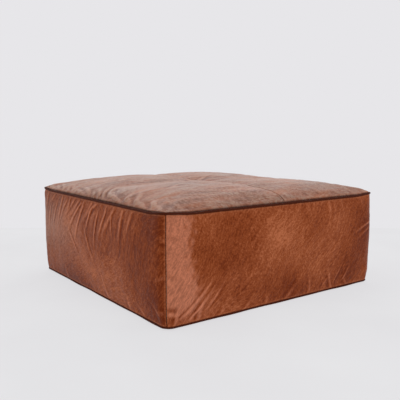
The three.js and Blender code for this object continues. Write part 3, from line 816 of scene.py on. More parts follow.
def brass_finish(finishes):
    """Antique brass, brighter where handling has polished it and dull brown elsewhere."""
    brass = Finish("antique_brass")
    place = brass.place()
    tarnish = brass.noise(place, 300, 4.0, 0.6)
    scratches = brass.noise(brass.stretch(place, (1, 8, 8)), 1200, 2.0, 0.5)
    dull = dimmed(finishes.brass, 0.35)
    colours = brass.mix(brass.ramp(tarnish, 0.4, 0.65), dull, finishes.brass)
    rough = brass.ramp(tarnish + scratches * 0.3, 0.4, 0.9, 0.5, 0.24)
    relief = brass.bump(scratches, 0.15, 0.0001)
    return brass.set(Base_Color=colours, Roughness=rough, Metallic=1.0, Normal=relief)


def floor_finish(finishes):
    """A pale, matt studio floor."""
    floor = Finish("studio_floor")
    haze = floor.noise(floor.place(), 2.5, 2.0, 0.5)
    colours = floor.mix(haze, dimmed(finishes.floor, 0.13), dimmed(finishes.floor, 0.125))
    rough = floor.ramp(haze, 0.3, 0.7, 0.6, 0.7)
    glow = {"Emission_Color": floor.mix(haze, finishes.floor, finishes.backdrop), "Emission_Strength": 0.79}
    return floor.set(Base_Color=colours, Roughness=rough, Specular_IOR_Level=0.0, **glow)


OWN_FINISHES = {
    "pull_up_leather": leather_finish,
    "corded_leather": piping_finish,
    "antique_brass": brass_finish,
    "studio_floor": floor_finish,
}
TINTED_FINISHES = {  # what makes each, its tint, how much of it the dark shade keeps, and the maker's numbers
    "waxed_thread": (twisted_finish, "thread", 0.4, 2500),
    "cotton_cord": (twisted_finish, "cord", 0.6, 1400),
    "zip_tape_weave": (cloth_finish, "tape", 0.45, 1700, 0.85),
    "calico_weave": (cloth_finish, "calico", 0.7, 1100, 0.92),
    "open_cell_foam": (foam_finish, "foam", 0.65, 420, 0.0012),
    "matted_wadding": (foam_finish, "wadding", 0.8, 120, 0.003),
}


def finish(name):
    """A named finish, made the first time that it is asked for."""
    if name not in bpy.data.materials:
        colours = bpy.context.scene.pouf_finishes
        plain = {key: list(getattr(colours, key)) for key in colours.__annotations__}
        if name in TINTED_FINISHES:
            maker, key, share, *numbers = TINTED_FINISHES[name]
            maker(name, plain[key], dimmed(plain[key], share), *numbers)
        else:
            OWN_FINISHES[name](type("Look", (), plain))
    return bpy.data.materials[name]


# -------------------------------------------------------------------------------------- geometry nodes


class Tree:
    """A Geometry Nodes tree with named inputs, and one geometry in and out."""

    def __init__(self, name, inputs):
        self.group = bpy.data.node_groups.new(name, "GeometryNodeTree")
        self.group.interface.new_socket("Geometry", in_out="INPUT", socket_type="NodeSocketGeometry")
        for label, kind in inputs:
            self.group.interface.new_socket(label, in_out="INPUT", socket_type=f"NodeSocket{kind}")
        self.group.interface.new_socket("Geometry", in_out="OUTPUT", socket_type="NodeSocketGeometry")
        self.inputs = self.group.nodes.new("NodeGroupInput").outputs

    def add(self, kind, settings=None, inputs=None, output=0):
        """Adds a node: its settings, then the values or outputs that feed its sockets."""
        node = self.group.nodes.new(kind)
        for key, value in (settings or {}).items():
            setattr(node, key, value)
        for key, value in (inputs or {}).items():
            if isinstance(value, bpy.types.NodeSocket):
                self.group.links.new(value, node.inputs[key])
            else:
                node.inputs[key].default_value = value
        return node.outputs[output]

    def end(self, geometry, material):
        """Realizes the instances and gives them their material."""
        real = self.add("GeometryNodeRealizeInstances", None, {"Geometry": geometry})
        shown = self.add("GeometryNodeSetMaterial", None, {"Geometry": real, "Material": material})
        self.group.links.new(shown, self.group.nodes.new("NodeGroupOutput").inputs["Geometry"])


def run_tree():
    """Copies of one small object along a path, each turned to follow it, with a little seeded variation."""
    name = "Run of copies"
    if name in bpy.data.node_groups:
        return bpy.data.node_groups[name]
    kinds = {"Copy": "Object", "Pitch": "Float", "Sway": "Float", "Seed": "Int", "Material": "Material"}
    tree = Tree(name, kinds.items())
    source = tree.inputs
    path = tree.add("GeometryNodeMeshToCurve", None, {"Mesh": source["Geometry"]})
    spacing = {"Curve": path, "Length": source["Pitch"]}
    points = tree.add("GeometryNodeResampleCurve", {"mode": "LENGTH"}, spacing)
    tangent = tree.add("GeometryNodeInputTangent")
    turn = tree.add("FunctionNodeAlignRotationToVector", {"axis": "X"}, {"Vector": tangent})
    scale = {"operation": "SCALE"}
    most = tree.add("ShaderNodeVectorMath", scale, {0: (1.0, 1.0, 1.0), "Scale": source["Sway"]})
    least = tree.add("ShaderNodeVectorMath", scale, {0: most, "Scale": -1.0})
    drawn = {"Min": least, "Max": most, "Seed": source["Seed"]}
    sway = tree.add("FunctionNodeRandomValue", {"data_type": "FLOAT_VECTOR"}, drawn)
    turned = tree.add("FunctionNodeEulerToRotation", None, {"Euler": sway})
    both = tree.add("FunctionNodeRotateRotation", {"rotation_space": "LOCAL"}, {0: turn, 1: turned})
    asked = {"Object": source["Copy"], "As Instance": True}
    shape = tree.add("GeometryNodeObjectInfo", None, asked, "Geometry")
    inputs = {"Points": points, "Instance": shape, "Rotation": both}
    tree.end(tree.add("GeometryNodeInstanceOnPoints", None, inputs), source["Material"])
    return tree.group


def copies_along(name, path, copy, pitch, material, seed, sway=0.0, closed=False):
    """Copies of an object along a path of points, as one plain mesh."""
    links = [(k, k + 1) for k in range(len(path) - 1)] + ([(len(path) - 1, 0)] if closed else [])
    mesh = bpy.data.meshes.new(f"{name}_path")
    mesh.from_pydata(np.asarray(path, float).tolist(), links, [])
    carrier = bpy.data.objects.new(f"{name}_path", mesh)
    bpy.context.scene.collection.objects.link(carrier)
    tree = run_tree()
    modifier = carrier.modifiers.new("Run", "NODES")
    modifier.node_group = tree
    values = {"Copy": copy, "Pitch": pitch, "Sway": sway, "Seed": seed, "Material": material}
    for item in tree.interface.items_tree:
        if item.in_out == "INPUT" and item.name in values:
            modifier[item.identifier] = values[item.name]
    graph = bpy.context.evaluated_depsgraph_get()
    made = bpy.data.meshes.new_from_object(carrier.evaluated_get(graph))
    bpy.data.objects.remove(carrier)
    if not made.polygons:
        raise RuntimeError(f"{name} came out empty")
    made.name = name
    piece = bpy.data.objects.new(name, made)
    bpy.context.scene.collection.objects.link(piece)
    made.shade_smooth()
    return piece


# ----------------------------------------------------------------------------------------------- covers


CREST_HEIGHT = 0.45 * MM  # a fold that stands this far over its surroundings gets the full painted highlight, and one that lies as far under them the full painted shade


def crests(stand, reach=4):
    """Where a field of heights stands over its surroundings, 1, or lies under them, -1."""
    kernel = np.ones(2 * reach + 1) / (2 * reach + 1)
    around = stand
    for axis in (0, 1):
        padded = np.pad(around, [(reach, reach) if axis == k else (0, 0) for k in (0, 1)], mode="edge")
        around = np.apply_along_axis(np.convolve, axis, padded, kernel, "valid")
    return np.tanh((stand - around) / CREST_HEIGHT)


# reach of the painted shade at the seams, then the place and width of the lighter bands beside them
SEAM_SHADE = 1.1 * MM
RIDGE_PLACE, RIDGE_WIDTH = 3.4 * MM, 2.2 * MM
LIE_WANDER = 0.03  # metres that the brushed streaks stray sideways


def cover_fields(seed, u, v, away, tone, bloom=0.0, dust=0.0, crest=0.0, turn=None):
    """Point attributes of a leather panel: its place on the hide, which is turned as it was cut and whose
    lie wanders a little, its seams, which get painted shade, and the bands beside them, its tone, its patches
    of painted sheen and of painted grey sheen, and the painted shading of its folds, lighter on their crests
    and darker in their hollows."""
    draw = np.random.default_rng(seed)
    shift, turn = draw.random(3) * 9, draw.random() * math.pi if turn is None else turn
    lie_u = u + LIE_WANDER * unevenness(seed + 1, u, v, 0.4)
    lie_v = v + LIE_WANDER * unevenness(seed + 2, u, v, 0.4)
    along = lie_u * math.cos(turn) + lie_v * math.sin(turn)
    across = lie_v * math.cos(turn) - lie_u * math.sin(turn)
    return {
        "hide": np.stack([along, across, 0 * u], -1) + shift,
        "seam": np.exp(-away / SEAM_SHADE),
        "ridge": np.exp(-(((away - RIDGE_PLACE) / RIDGE_WIDTH) ** 2)),
        "tone": tone,
        "bloom": np.clip(bloom, 0, 1) + 0 * u,
        "dust": np.clip(dust, 0, 1) + 0 * u,
        "crest": crest + 0 * u,
    }


def centre_shade(x, y):
    """Where painted shade darkens the top, in the dip round the middle of the cross seam."""
    return np.exp(-((x / 0.13) ** 2) - (y / 0.05) ** 2)


def top_panel(form, place, sign_x, sign_y):
    """One quarter of the top."""
    sizes = form.sizes
    xs, ys = [
        stations(*sorted((sign * sizes.seam_gap / 2, sign * half)), sizes.grid)
        for sign, half in zip((sign_x, sign_y), form.half)
    ]
    x, y = np.meshgrid(xs, ys, indexing="ij")
    away = np.minimum(np.abs(x), np.abs(y)) - sizes.seam_gap / 2
    points = cover_top(form, x, y)
    points += normals(points) * seam_roll(away)[..., None]
    rim = np.minimum(form.half[0] - np.abs(x), form.half[1] - np.abs(y))
    seed = 200 + 7 * sign_x + 3 * sign_y
    tone = 0.1 * unevenness(90, x, y, 0.3) + 0.14 * unevenness(91, x * 0.3, y, 0.06)
    tone -= 0.35 * centre_shade(x, y)
    # Painted grey sheen over the whole top, weaker in the shaded dip at its middle.
    dust = 0.92 + 0.12 * unevenness(92, x * 0.4, y, 0.12) - 0.45 * centre_shade(x, y)
    # Painted fold shading: highlights on the folds' crests, shade in their hollows.
    crest = crests(top_folds(form, x, y))
    fields = cover_fields(seed, x, y, np.minimum(away, rim), tone, dust=dust, crest=crest, turn=0.15 * sign_y)
    panel = make_grid(f"leather_top_{place}", points, finish("pull_up_leather"), fields=fields)
    return thicken(panel, sizes.leather)


SIDE_TONES = {  # by side: soft patches at (c, z) with their reach and amount
    "front": [
        ((0.1, 0.2), (0.16, 0.12), 0.04),
        ((-0.25, 0.29), (0.14, 0.06), -0.07),
        ((0.3, 0.05), (0.16, 0.06), -0.1),
        ((0.4, 0.2), (0.1, 0.2), -0.08),
        ((0.0, 0.04), (0.3, 0.05), -0.06),
    ],
    "right": [((0.1, 0.15), (0.2, 0.1), 0.12)],
    "back": [((-0.2, 0.2), (0.2, 0.1), 0.1), ((0.3, 0.1), (0.1, 0.1), -0.12)],
    "left": [
        ((0.4, 0.16), (0.12, 0.25), -0.18),
        ((-0.1, 0.1), (0.25, 0.08), 0.06),
        ((-0.2, 0.0), (0.3, 0.05), -0.2),
    ],
}
HIDE_TURNS = (1.0, 0.3, 1.9, 0.75)  # which way each side's brushed streaks run
SIDE_SHEEN_PATCHES = {  # patches of painted sheen, in the same terms as the tones
    "front": [
        ((-0.37, 0.06), (0.08, 0.06), 0.65),
        ((-0.2, 0.12), (0.06, 0.06), 0.15),
        ((0.1, 0.17), (0.12, 0.1), 0.05),
    ],
    "right": [((0.3, 0.25), (0.08, 0.08), 0.25)],
    "back": [((0.0, 0.25), (0.3, 0.06), 0.2)],
    "left": [
        ((-0.34, 0.2), (0.15, 0.07), 0.6),
        ((-0.12, 0.22), (0.05, 0.08), 0.3),
        ((0.0, 0.27), (0.15, 0.05), 0.2),
    ],
}
SHEEN_STRIP_END = -0.343  # how far along the front the strip of painted highlight beside the near corner reaches
SHEEN_STRIP_FADE = 0.05


def side_panel(form, side):
    """One side."""
    sizes, half, name = form.sizes, form.halves[side], SIDE_NAMES[side]
    gap = sizes.seam_gap / 2 * 4 / math.pi
    rise = sizes.seam_height - form.foot
    cs, zs = stations(gap - half, half - gap, sizes.grid), stations(0, rise, sizes.grid)
    c, t = np.meshgrid(cs, zs / rise, indexing="ij")
    z = form.foot + rise * t
    away = half - gap - np.abs(c)
    points = cover_side(form, side, c, t)
    points += normals(points) * seam_roll(away)[..., None]
    tone = 0.08 * unevenness(120 + side, c, z, 0.25)
    tone += sum(patch(c, z, *numbers) for numbers in SIDE_TONES[name])
    # Patches of painted sheen.
    bloom = sum(patch(c, z, *numbers) for numbers in SIDE_SHEEN_PATCHES[name])
    # A strip of painted highlight on the front, beside the near corner.
    if name == "front":
        ragged = 0.01 * unevenness(160, c, z, 0.2) + 0.01 * unevenness(161, c, z, 0.03)
        strip = smooth((SHEEN_STRIP_END - c + ragged) / SHEEN_STRIP_FADE)
        bloom += 0.85 * strip * smooth((z - 0.03) / 0.08)
    rim = np.minimum(away, np.minimum(z - form.foot, form.foot + rise - z))
    # Painted grey sheen at the far end of the left side, which is seen at a grazing angle.
    dust = 0.6 * patch(c, z, (-0.38, 0.2), (0.22, 0.11), 1) if name == "left" else 0.0
    # Painted fold shading: highlights on the folds' crests, shade in their hollows.
    crest = crests(side_folds(form, side, c, z))
    fields = cover_fields(300 + side, c, z, rim, tone, bloom, dust, crest, HIDE_TURNS[side])
    panel = make_grid(f"leather_side_{name}", points, finish("pull_up_leather"), fields=fields)
    return thicken(panel, sizes.leather)


def base_panel(form, place, sign):
    """Half of the base, with its edge lifted beside the zip. Its mesh is coarser, as nothing folds there."""
    sizes, pitch = form.sizes, 1.6 * form.sizes.grid
    xs = stations(-form.half[0], form.half[0], pitch)
    shares = stations(0, 1, pitch / form.half[1])
    x, share = np.meshgrid(xs, shares, indexing="ij")
    edge = form.slot_edge(x)
    y = sign * (edge + (form.half[1] - edge) * share)
    points = form.base(x, y)
    away = np.minimum(np.minimum(form.half[0] - np.abs(x), form.half[1] - np.abs(y)), np.abs(y) - edge)
    waves = 0.5 * MM * (1 + unevenness(140, x, y, 0.09)) * smooth(away / 0.03)
    points[..., 2] += np.maximum(waves, 0) * (1 - form.recess(x, y))
    fields = cover_fields(400 + sign, x, y, away, 0.08 * unevenness(150, x, y, 0.2) - 0.1)
    leather = finish("pull_up_leather")
    panel = make_grid(f"leather_base_{place}", points, leather, flip=sign > 0, fields=fields)
    return thicken(panel, sizes.leather)


class POUF_OT_settle(bpy.types.Operator):
    """Lets the stuffed cover settle between its seams, by a short cloth simulation"""

    bl_idname = "pouf.settle"
    bl_label = "Settle the cover"

    PITCH = 9 * MM  # of the simulated mesh, whose pins below are shares from 0, free, to 1, held
    FREE, NEAR_RIM, CROSS_SEAM = 0.03, 0.1, 0.85
    LOOSE = {"left": 1.0, "back": 0.6, "right": 0.45, "front": 0.25}  # how much slack each side has

    def execute(self, context):
        SETTLED.clear()
        form = Form(context.scene.pouf_sizes)
        self.settle_top(form)
        self.settle_band(form)
        return {"FINISHED"}

    def settle_top(self, form):
        x, y = np.meshgrid(*[self.places(half) for half in form.half], indexing="ij")
        points = form.top(x, y)
        points[..., 2] += cross_pull(x, y)
        inward = np.minimum(form.half[0] - np.abs(x), form.half[1] - np.abs(y))
        seam = np.minimum(np.abs(x), np.abs(y))
        pins = np.where(seam < self.PITCH / 2, self.CROSS_SEAM, self.FREE)
        pins = np.where(inward < 2.5 * self.PITCH, np.maximum(pins, self.NEAR_RIM), pins)
        pins = np.where(inward < self.PITCH / 2, 1.0, pins)
        leftward = np.clip(1 - (x + form.half[0]) / 0.4, 0, 1)
        slack = 0.35 + 0.65 * leftward * np.clip(1.1 - (y + form.half[1]) / 0.9, 0, 1)
        SETTLED["top"] = settle_sheet("settling_top", points, pins, slack)

    def places(self, half):
        """Even places along a side or across the top."""
        return np.linspace(-half, half, round(2 * half / self.PITCH) + 1)

    def settle_band(self, form):
        rows, pins, slack, counts = [], [], [], []
        shares = np.linspace(0, 1, round(form.sizes.seam_height / self.PITCH) + 1)
        edge = np.minimum(shares, 1 - shares) < 0.01
        for side, half in enumerate(form.halves):
            c, t = np.meshgrid(self.places(half)[:-1], shares, indexing="ij")
            rows.append(form.side(side, c, t))
            corner = np.abs(c) > half - self.PITCH / 2
            pins.append(np.where(edge | corner, 1.0, self.FREE))
            loose = self.LOOSE[SIDE_NAMES[side]]
            slack.append(np.full(c.shape, loose) * np.clip(1.3 - np.abs(t - 0.9), 0, 1))
            counts.append(len(c))
        rows, pins, slack = [np.concatenate(parts) for parts in (rows, pins, slack)]
        offsets = settle_sheet("settling_band", rows, pins, slack, closed=True)
        start = 0
        for side, count in enumerate(counts):
            SETTLED[side] = offsets[np.arange(start, start + count + 1) % len(offsets)]
            start += count


class POUF_OT_top(bpy.types.Operator):
    """Builds the four quarter panels of the top"""

    bl_idname = "pouf.top"
    bl_label = "Top panels"

    def execute(self, context):
        form = Form(context.scene.pouf_sizes)
        for place, sign_x, sign_y in QUARTERS:
            panel = top_panel(form, place, sign_x, sign_y)
            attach(panel, "pouf")
            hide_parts(f"top_panel_{place}")
        return {"FINISHED"}


class POUF_OT_sides(bpy.types.Operator):
    """Builds the four side panels"""

    bl_idname = "pouf.sides"
    bl_label = "Side panels"

    def execute(self, context):
        form = Form(context.scene.pouf_sizes)
        for side, name in enumerate(SIDE_NAMES):
            panel = side_panel(form, side)
            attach(panel, "pouf")
            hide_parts(f"side_panel_{name}")
        return {"FINISHED"}


class POUF_OT_base(bpy.types.Operator):
    """Builds the two base panels"""

    bl_idname = "pouf.base"
    bl_label = "Base panels"

    def execute(self, context):
        form = Form(context.scene.pouf_sizes)
        for place, sign in (("front", -1), ("back", 1)):
            panel = base_panel(form, place, sign)
            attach(panel, "pouf")
            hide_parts(f"base_panel_{place}")
        return {"FINISHED"}


# ------------------------------------------------------------------------------------ piping and thread

FLANGE_END = 12 * MM  # the seam allowance
FLANGE_HALF = 1.15 * MM  # half the thickness of the flange's two layers
FLANGE_SLIT = 0.15 * MM  # half the slit between them
PIPING_WALL = 1.1 * MM
CORD_RADIUS = 1.4 * MM
ARC_STEPS = 14
CORD_SIDES = 14
CORD_TWIST = 520  # radians to the metre
SLEEVE_PITCH, CORD_PITCH = 5 * MM, 2.5 * MM
SLEEVE_SLACK = 0.12 * MM  # how far its leather stands off in places
SLEEVE_RIPPLE = (610, 257, 1)
TOP_WAVE, BASE_WAVE = 0.35 * MM, 0.9 * MM  # how far the piping wanders up and down
TOP_RIPPLE = 41
BASE_RIPPLE = (23, 37, 2)


def ripple(distance, first, second, phase):
    """Two waves together, between -1 and 1, from their radians to the metre."""
    return (math.sin(distance * first) + math.sin(distance * second + phase)) / 2


def rim_stops(form, pitch):
    """Side numbers and places along them, right round the rim, and the distance run to each."""
    sides, places = [], []
    for side, half in enumerate(form.halves):
        steps = round(2 * half / pitch)
        sides += [side] * steps
        places += list(np.linspace(-half, half, steps, endpoint=False))
    points = np.array([form.rim(side, c) for side, c in zip(sides, places)])
    run = np.concatenate([[0], np.cumsum(np.hypot(*np.diff(points, axis=0).T))])
    return sides, places, run


def swept_ring(name, form, section, pitch, line, material):
    """A closed ring round the rim. `section(run)` gives (out, up) for each point round the section. `line`
    gives how far the middle of the ring is drawn in, and its height."""
    sides, places, run = rim_stops(form, pitch)
    rows = []
    for side, c, distance in zip(sides, places, run):
        out, up = section(distance)
        drawn_in, height = line(side, c, distance)
        x, y = form.rim(side, c, out - drawn_in)
        rows.append(np.stack([x, y, height + up], -1))
    points = np.array(rows)
    faces = grid_faces(len(points), len(points[0]), closed_rows=True, closed_columns=True)
    return make_object(name, points, faces, material)


def sleeve_section(distance):
    """The piping's leather round its cord, and the flange of two layers that is sewn into the seam."""
    slack = SLEEVE_SLACK * ripple(distance, *SLEEVE_RIPPLE)
    outer_mouth = math.asin(FLANGE_HALF / PIPING_RADIUS)
    bore = PIPING_RADIUS - PIPING_WALL
    inner_mouth = math.asin(FLANGE_SLIT / bore)
    outer = np.linspace(outer_mouth - math.pi, math.pi - outer_mouth, ARC_STEPS + 1)
    inner = np.linspace(math.pi - inner_mouth, inner_mouth - math.pi, ARC_STEPS + 1)
    radii = PIPING_RADIUS + slack * np.cos(outer / 2) ** 2
    out = np.concatenate([[-FLANGE_END], PIPING_OFFSET + radii * np.cos(outer), [-FLANGE_END, -FLANGE_END]])
    out = np.concatenate([out, PIPING_OFFSET + bore * np.cos(inner), [-FLANGE_END]])
    up = np.concatenate([[-FLANGE_HALF], radii * np.sin(outer), [FLANGE_HALF, FLANGE_SLIT]])
    return out, np.concatenate([up, bore * np.sin(inner), [-FLANGE_SLIT]])


def cord_section(distance):
    """Three strands twisted together."""
    angles = np.linspace(0, 2 * math.pi, CORD_SIDES, endpoint=False)
    lobes = 0.8 + 0.2 * np.abs(np.cos(1.5 * (angles - distance * CORD_TWIST)))
    return PIPING_OFFSET + CORD_RADIUS * lobes * np.cos(angles), CORD_RADIUS * lobes * np.sin(angles)


def top_seam_line(form):
    """How far the top seam is drawn in at a place, and its height."""
    return lambda side, c, distance: (
        0.0,
        form.seam_height(side, c) + TOP_WAVE * math.sin(distance * TOP_RIPPLE),
    )


def base_seam_line(form):
    """The same for the base seam, which wanders more."""
    height = form.sizes.base_seam
    return lambda side, c, distance: (form.PIPING_TUCK, height + BASE_WAVE * ripple(distance, *BASE_RIPPLE))


def stitch_copy(sizes):
    """One stitch: a thread that dips into the leather at both ends. It lies along X."""
    rings, sides = 7, 8
    share = np.linspace(0, 1, rings)
    along = (share - 0.5) * sizes.stitch_length
    thick = sizes.thread / 2 * np.sin(math.pi * np.clip(share, 0.04, 0.96)) ** 0.5
    angles = np.linspace(0, 2 * math.pi, sides, endpoint=False)
    points = np.stack(
        [
            np.broadcast_to(along[:, None], (rings, sides)),
            thick[:, None] * np.cos(angles),
            thick[:, None] * np.sin(angles) + (0.25 * sizes.thread * np.sin(math.pi * share))[:, None],
        ],
        -1,
    )
    body = grid_faces(rings, sides, closed_columns=True, flip=True).tolist()
    caps = [list(range(sides)), [rings * sides - 1 - k for k in range(sides)]]
    mesh = bpy.data.meshes.new("stitch")
    mesh.from_pydata(points.reshape(-1, 3).tolist(), [], body + caps)
    return bpy.data.objects.new("stitch", mesh)


class POUF_OT_piping(bpy.types.Operator):
    """Builds the corded piping round the top and base edges"""

    bl_idname = "pouf.piping"
    bl_label = "Piping"

    def execute(self, context):
        form = Form(context.scene.pouf_sizes)
        for edge, line in (("top", top_seam_line(form)), ("base", base_seam_line(form))):
            leather, cotton = finish("corded_leather"), finish("cotton_cord")
            sleeve = swept_ring(f"piping_{edge}", form, sleeve_section, SLEEVE_PITCH, line, leather)
            core = swept_ring(f"piping_cord_{edge}", form, cord_section, CORD_PITCH, line, cotton)
            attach(sleeve, "pouf")
            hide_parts(f"{edge}_piping_sleeve")
            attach(core, "pouf")
            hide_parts(f"{edge}_piping_cord")
        return {"FINISHED"}


class POUF_OT_stitching(bpy.types.Operator):
    """Sews the seams: rows of waxed stitches in every seam"""

    bl_idname = "pouf.stitching"
    bl_label = "Stitching"

    END_GAP = 4 * MM  # between a seam's end and its first stitch
    CROSS_DEPTH = 0.9 * MM  # how deep the cross seam's stitches lie
    CORNER_DEPTH = 1.1 * MM
    EDGE_IN, EDGE_OFF = 2.45 * MM, 1.85 * MM  # from the piping's middle to an edge seam's stitches
    BASE_LIFT = 0.7 * MM
    TAPE_LIFT = 0.15 * MM
    SWAY = 0.05  # how far a stitch may turn out of line, in radians

    def execute(self, context):
        sizes = context.scene.pouf_sizes
        form = Form(sizes)
        copy = stitch_copy(sizes)
        runs = []
        across = np.linspace(-form.half[0] + self.END_GAP, form.half[0] - self.END_GAP, 240)
        runs.append(("long", self.top_line(form, across, 0 * across), "top_seam_thread_long", False))
        for place, sign in (("front", -1), ("back", 1)):
            down = sign * np.linspace(self.END_GAP, form.half[1] - self.END_GAP, 120)
            runs.append((place, self.top_line(form, 0 * down, down), f"top_seam_thread_{place}", False))
        for side, (place, *_) in enumerate(QUARTERS):
            t = np.linspace(0.01, 0.99, 90)
            points = form.side(side, np.full_like(t, -form.halves[side]), t)
            points[:, :2] *= 1 - self.CORNER_DEPTH / np.hypot(points[0, 0], points[0, 1])
            runs.append((f"corner_{place}", points, f"corner_seam_thread_{place}", False))
        for edge, line, drop in (("top", top_seam_line(form), -1), ("base", base_seam_line(form), 1)):
            points = []
            for side, c, run in zip(*rim_stops(form, 8 * MM)):
                drawn_in, height = line(side, c, run)
                points.append((*form.rim(side, c, -self.EDGE_IN - drawn_in), height + drop * self.EDGE_OFF))
            runs.append((f"{edge}_edge", points, f"{edge}_edge_seam_thread", True))
        for place, sign in (("left", -1), ("right", 1)):
            start = form.zip_half + form.SLOT_END + 2 * MM
            out = sign * np.linspace(start, form.half[0] - self.END_GAP, 30)
            points = form.base(out, 0 * out) + (0, 0, self.BASE_LIFT)
            runs.append((f"base_{place}", points, f"base_seam_thread_{place}", False))
        for place, sign in (("front", -1), ("back", 1)):
            along = np.linspace(-form.zip_half, form.zip_half, 60)
            height = form.ZIP_RECESS - self.TAPE_LIFT
            row = [(x, sign * (form.ZIP_SLOT + form.ZIP_LANDING) / 2, height) for x in along]
            runs.append((f"zip_{place}", row, f"zip_stitch_{place}", False))
        for seed, (label, path, node, closed) in enumerate(runs):
            name, pitch, thread = f"stitches_{label}", sizes.stitch_pitch, finish("waxed_thread")
            row = copies_along(name, path, copy, pitch, thread, seed, sway=self.SWAY, closed=closed)
            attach(row, "pouf")
            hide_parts(node)
        bpy.data.objects.remove(copy)
        return {"FINISHED"}

    def top_line(self, form, x, y):
        """The bottom of a groove in the top."""
        points = form.top(x, y) + settled_top(x, y, form)
        points[:, 2] += top_stand(form, x, y) + cross_pull(x, y) - self.CROSS_DEPTH
        return points


# ---------------------------------------------------------------------------------- lining and filling

LINING_PITCH = 9 * MM
LINING_INSET = 14 * MM  # from the seam line to the edge of the lining's top and base
LINING_DEPTH = 0.9 * MM  # under the leather
LINING_THICKNESS = 0.6 * MM
LINING_LIFT = 1.3 * MM  # and further from the base, whose leather waves
RECESS_ROOM = 3.6 * MM  # how much further lining and foam stand off the zip's recess
ROOM_SLOPE = Form.ZIP_SLOPE + 5 * MM
SLAB_SPLIT = 160 * MM  # height of the joint between the foam slabs
SLAB_DROP = 27 * MM  # from the top seam down to the upper slab's top
SLAB_GAP = 0.5 * MM
SLAB_LIFT = 4.2 * MM  # from the base's visible face to the foam
FILLING_INSET = 7 * MM
FILLING_RIM = 5 * MM  # in plan coordinates, before the inset
FILLING_PITCH = 15 * MM
PAD_DEPTH = 5 * MM  # under the top's visible face
PAD_LEAST = 2 * MM


class POUF_OT_lining(bpy.types.Operator):
    """Builds the calico lining: a top, a band and a base"""

    bl_idname = "pouf.lining"
    bl_label = "Lining"

    def execute(self, context):
        form = Form(context.scene.pouf_sizes)
        cloth = finish("calico_weave")
        depth = form.sizes.leather + LINING_DEPTH
        spans = [stations(-half + LINING_INSET, half - LINING_INSET, LINING_PITCH) for half in form.half]
        x, y = np.meshgrid(*spans, indexing="ij")
        points = cover_top(form, x, y)
        points -= normals(points) * depth
        top = make_grid("lining_top", points, cloth)
        rows = []
        for side, half in enumerate(form.halves):
            c, t = np.meshgrid(np.linspace(-half, half, 101), np.linspace(0.02, 0.98, 32), indexing="ij")
            wall = cover_side(form, side, c, t)
            rows.append((wall - normals(wall) * depth)[:-1])
        rows = np.concatenate(rows)
        band = make_object("lining_band", rows, grid_faces(*rows.shape[:2], closed_rows=True), cloth)
        points = form.base(x, y)
        points[..., 2] += depth + LINING_LIFT + RECESS_ROOM * form.recess(x, y, ROOM_SLOPE)
        base = make_grid("lining_base", points, cloth, flip=True)
        for sheet, node, flat in (
            (top, "liner_top", (0.91, 0.91)),
            (band, "liner_band", (3.52, 0.33)),
            (base, "liner_base", (0.9, 0.9)),
        ):
            thicken(sheet, LINING_THICKNESS)
            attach(sheet, "pouf")
            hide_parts(node)
        return {"FINISHED"}


class POUF_OT_filling(bpy.types.Operator):
    """Builds the two foam slabs and the wadding pad over them"""

    bl_idname = "pouf.filling"
    bl_label = "Filling"

    def execute(self, context):
        form = Form(context.scene.pouf_sizes)
        foam_top, foam = form.sizes.seam_height - SLAB_DROP, finish("open_cell_foam")
        spans = [stations(-half + FILLING_RIM, half - FILLING_RIM, FILLING_PITCH) for half in form.half]
        x, y = np.meshgrid(*spans, indexing="ij")
        plan = np.stack(form.plan(x, y, -FILLING_INSET), -1)
        grooved = form.base(x, y)[..., 2] + SLAB_LIFT + RECESS_ROOM * form.recess(x, y, ROOM_SLOPE)

        def layer(height):
            return np.concatenate([plan, np.broadcast_to(height, x.shape)[..., None]], -1)

        lower = make_block("foam_lower", layer(grooved), layer(SLAB_SPLIT), foam)
        upper = make_block("foam_upper", layer(SLAB_SPLIT + SLAB_GAP), layer(foam_top), foam)
        crown = cover_top(form, x, y)
        crown[..., 2] -= PAD_DEPTH
        crown[..., 2] = np.maximum(crown[..., 2], foam_top + PAD_LEAST)
        crown[..., :2] = plan
        pad = make_block("wadding_crown", layer(foam_top + SLAB_GAP), crown, finish("matted_wadding"))
        for block, node, slot, fill in (
            (lower, "foam_core_lower", "foam", 1.0),
            (upper, "foam_core_upper", "foam", 0.9),
            (pad, "wadding_pad", "wadding", 0.7),
        ):
            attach(block, "pouf")
            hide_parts(node)
        return {"FINISHED"}


# -------------------------------------------------------------------------------------------------- zip


def extruded(outline, low, high, bevel):
    """A plate from an outline seen from above, with bevelled rims: four rings of points and two caps."""
    outline = np.asarray(outline, float)
    middle = outline.mean(0)
    spans = outline - middle
    shrink = 1 - bevel / np.maximum(np.linalg.norm(spans, axis=1, keepdims=True), 1e-9)
    rings = [(shrink, low), (1, low + bevel), (1, high - bevel), (shrink, high)]
    points = [np.column_stack([middle + spans * scale, np.full(len(outline), z)]) for scale, z in rings]
    return np.concatenate(points), len(outline)


def solid(parts):
    """Points and faces of several extruded plates, joined."""
    points, faces, base = [], [], 0
    for cloud, count in parts:
        body = grid_faces(4, count, closed_columns=True, flip=True) + base
        faces += body.tolist()
        faces += [[base + count - 1 - k for k in range(count)], [base + 3 * count + k for k in range(count)]]
        points.append(cloud)
        base += len(cloud)
    return np.concatenate(points), faces


def rounded(length_x, width_y, radius, middle=(0.0, 0.0), steps=4):
    """The outline of a round-cornered rectangle, counterclockwise."""
    points = []
    for turn, (sx, sy) in enumerate(((1, 1), (-1, 1), (-1, -1), (1, -1))):
        for angle in np.linspace(turn, turn + 1, steps) * math.pi / 2:
            points.append(
                (
                    middle[0] + sx * (length_x / 2 - radius) + radius * math.cos(angle),
                    middle[1] + sy * (width_y / 2 - radius) + radius * math.sin(angle),
                )
            )
    return points


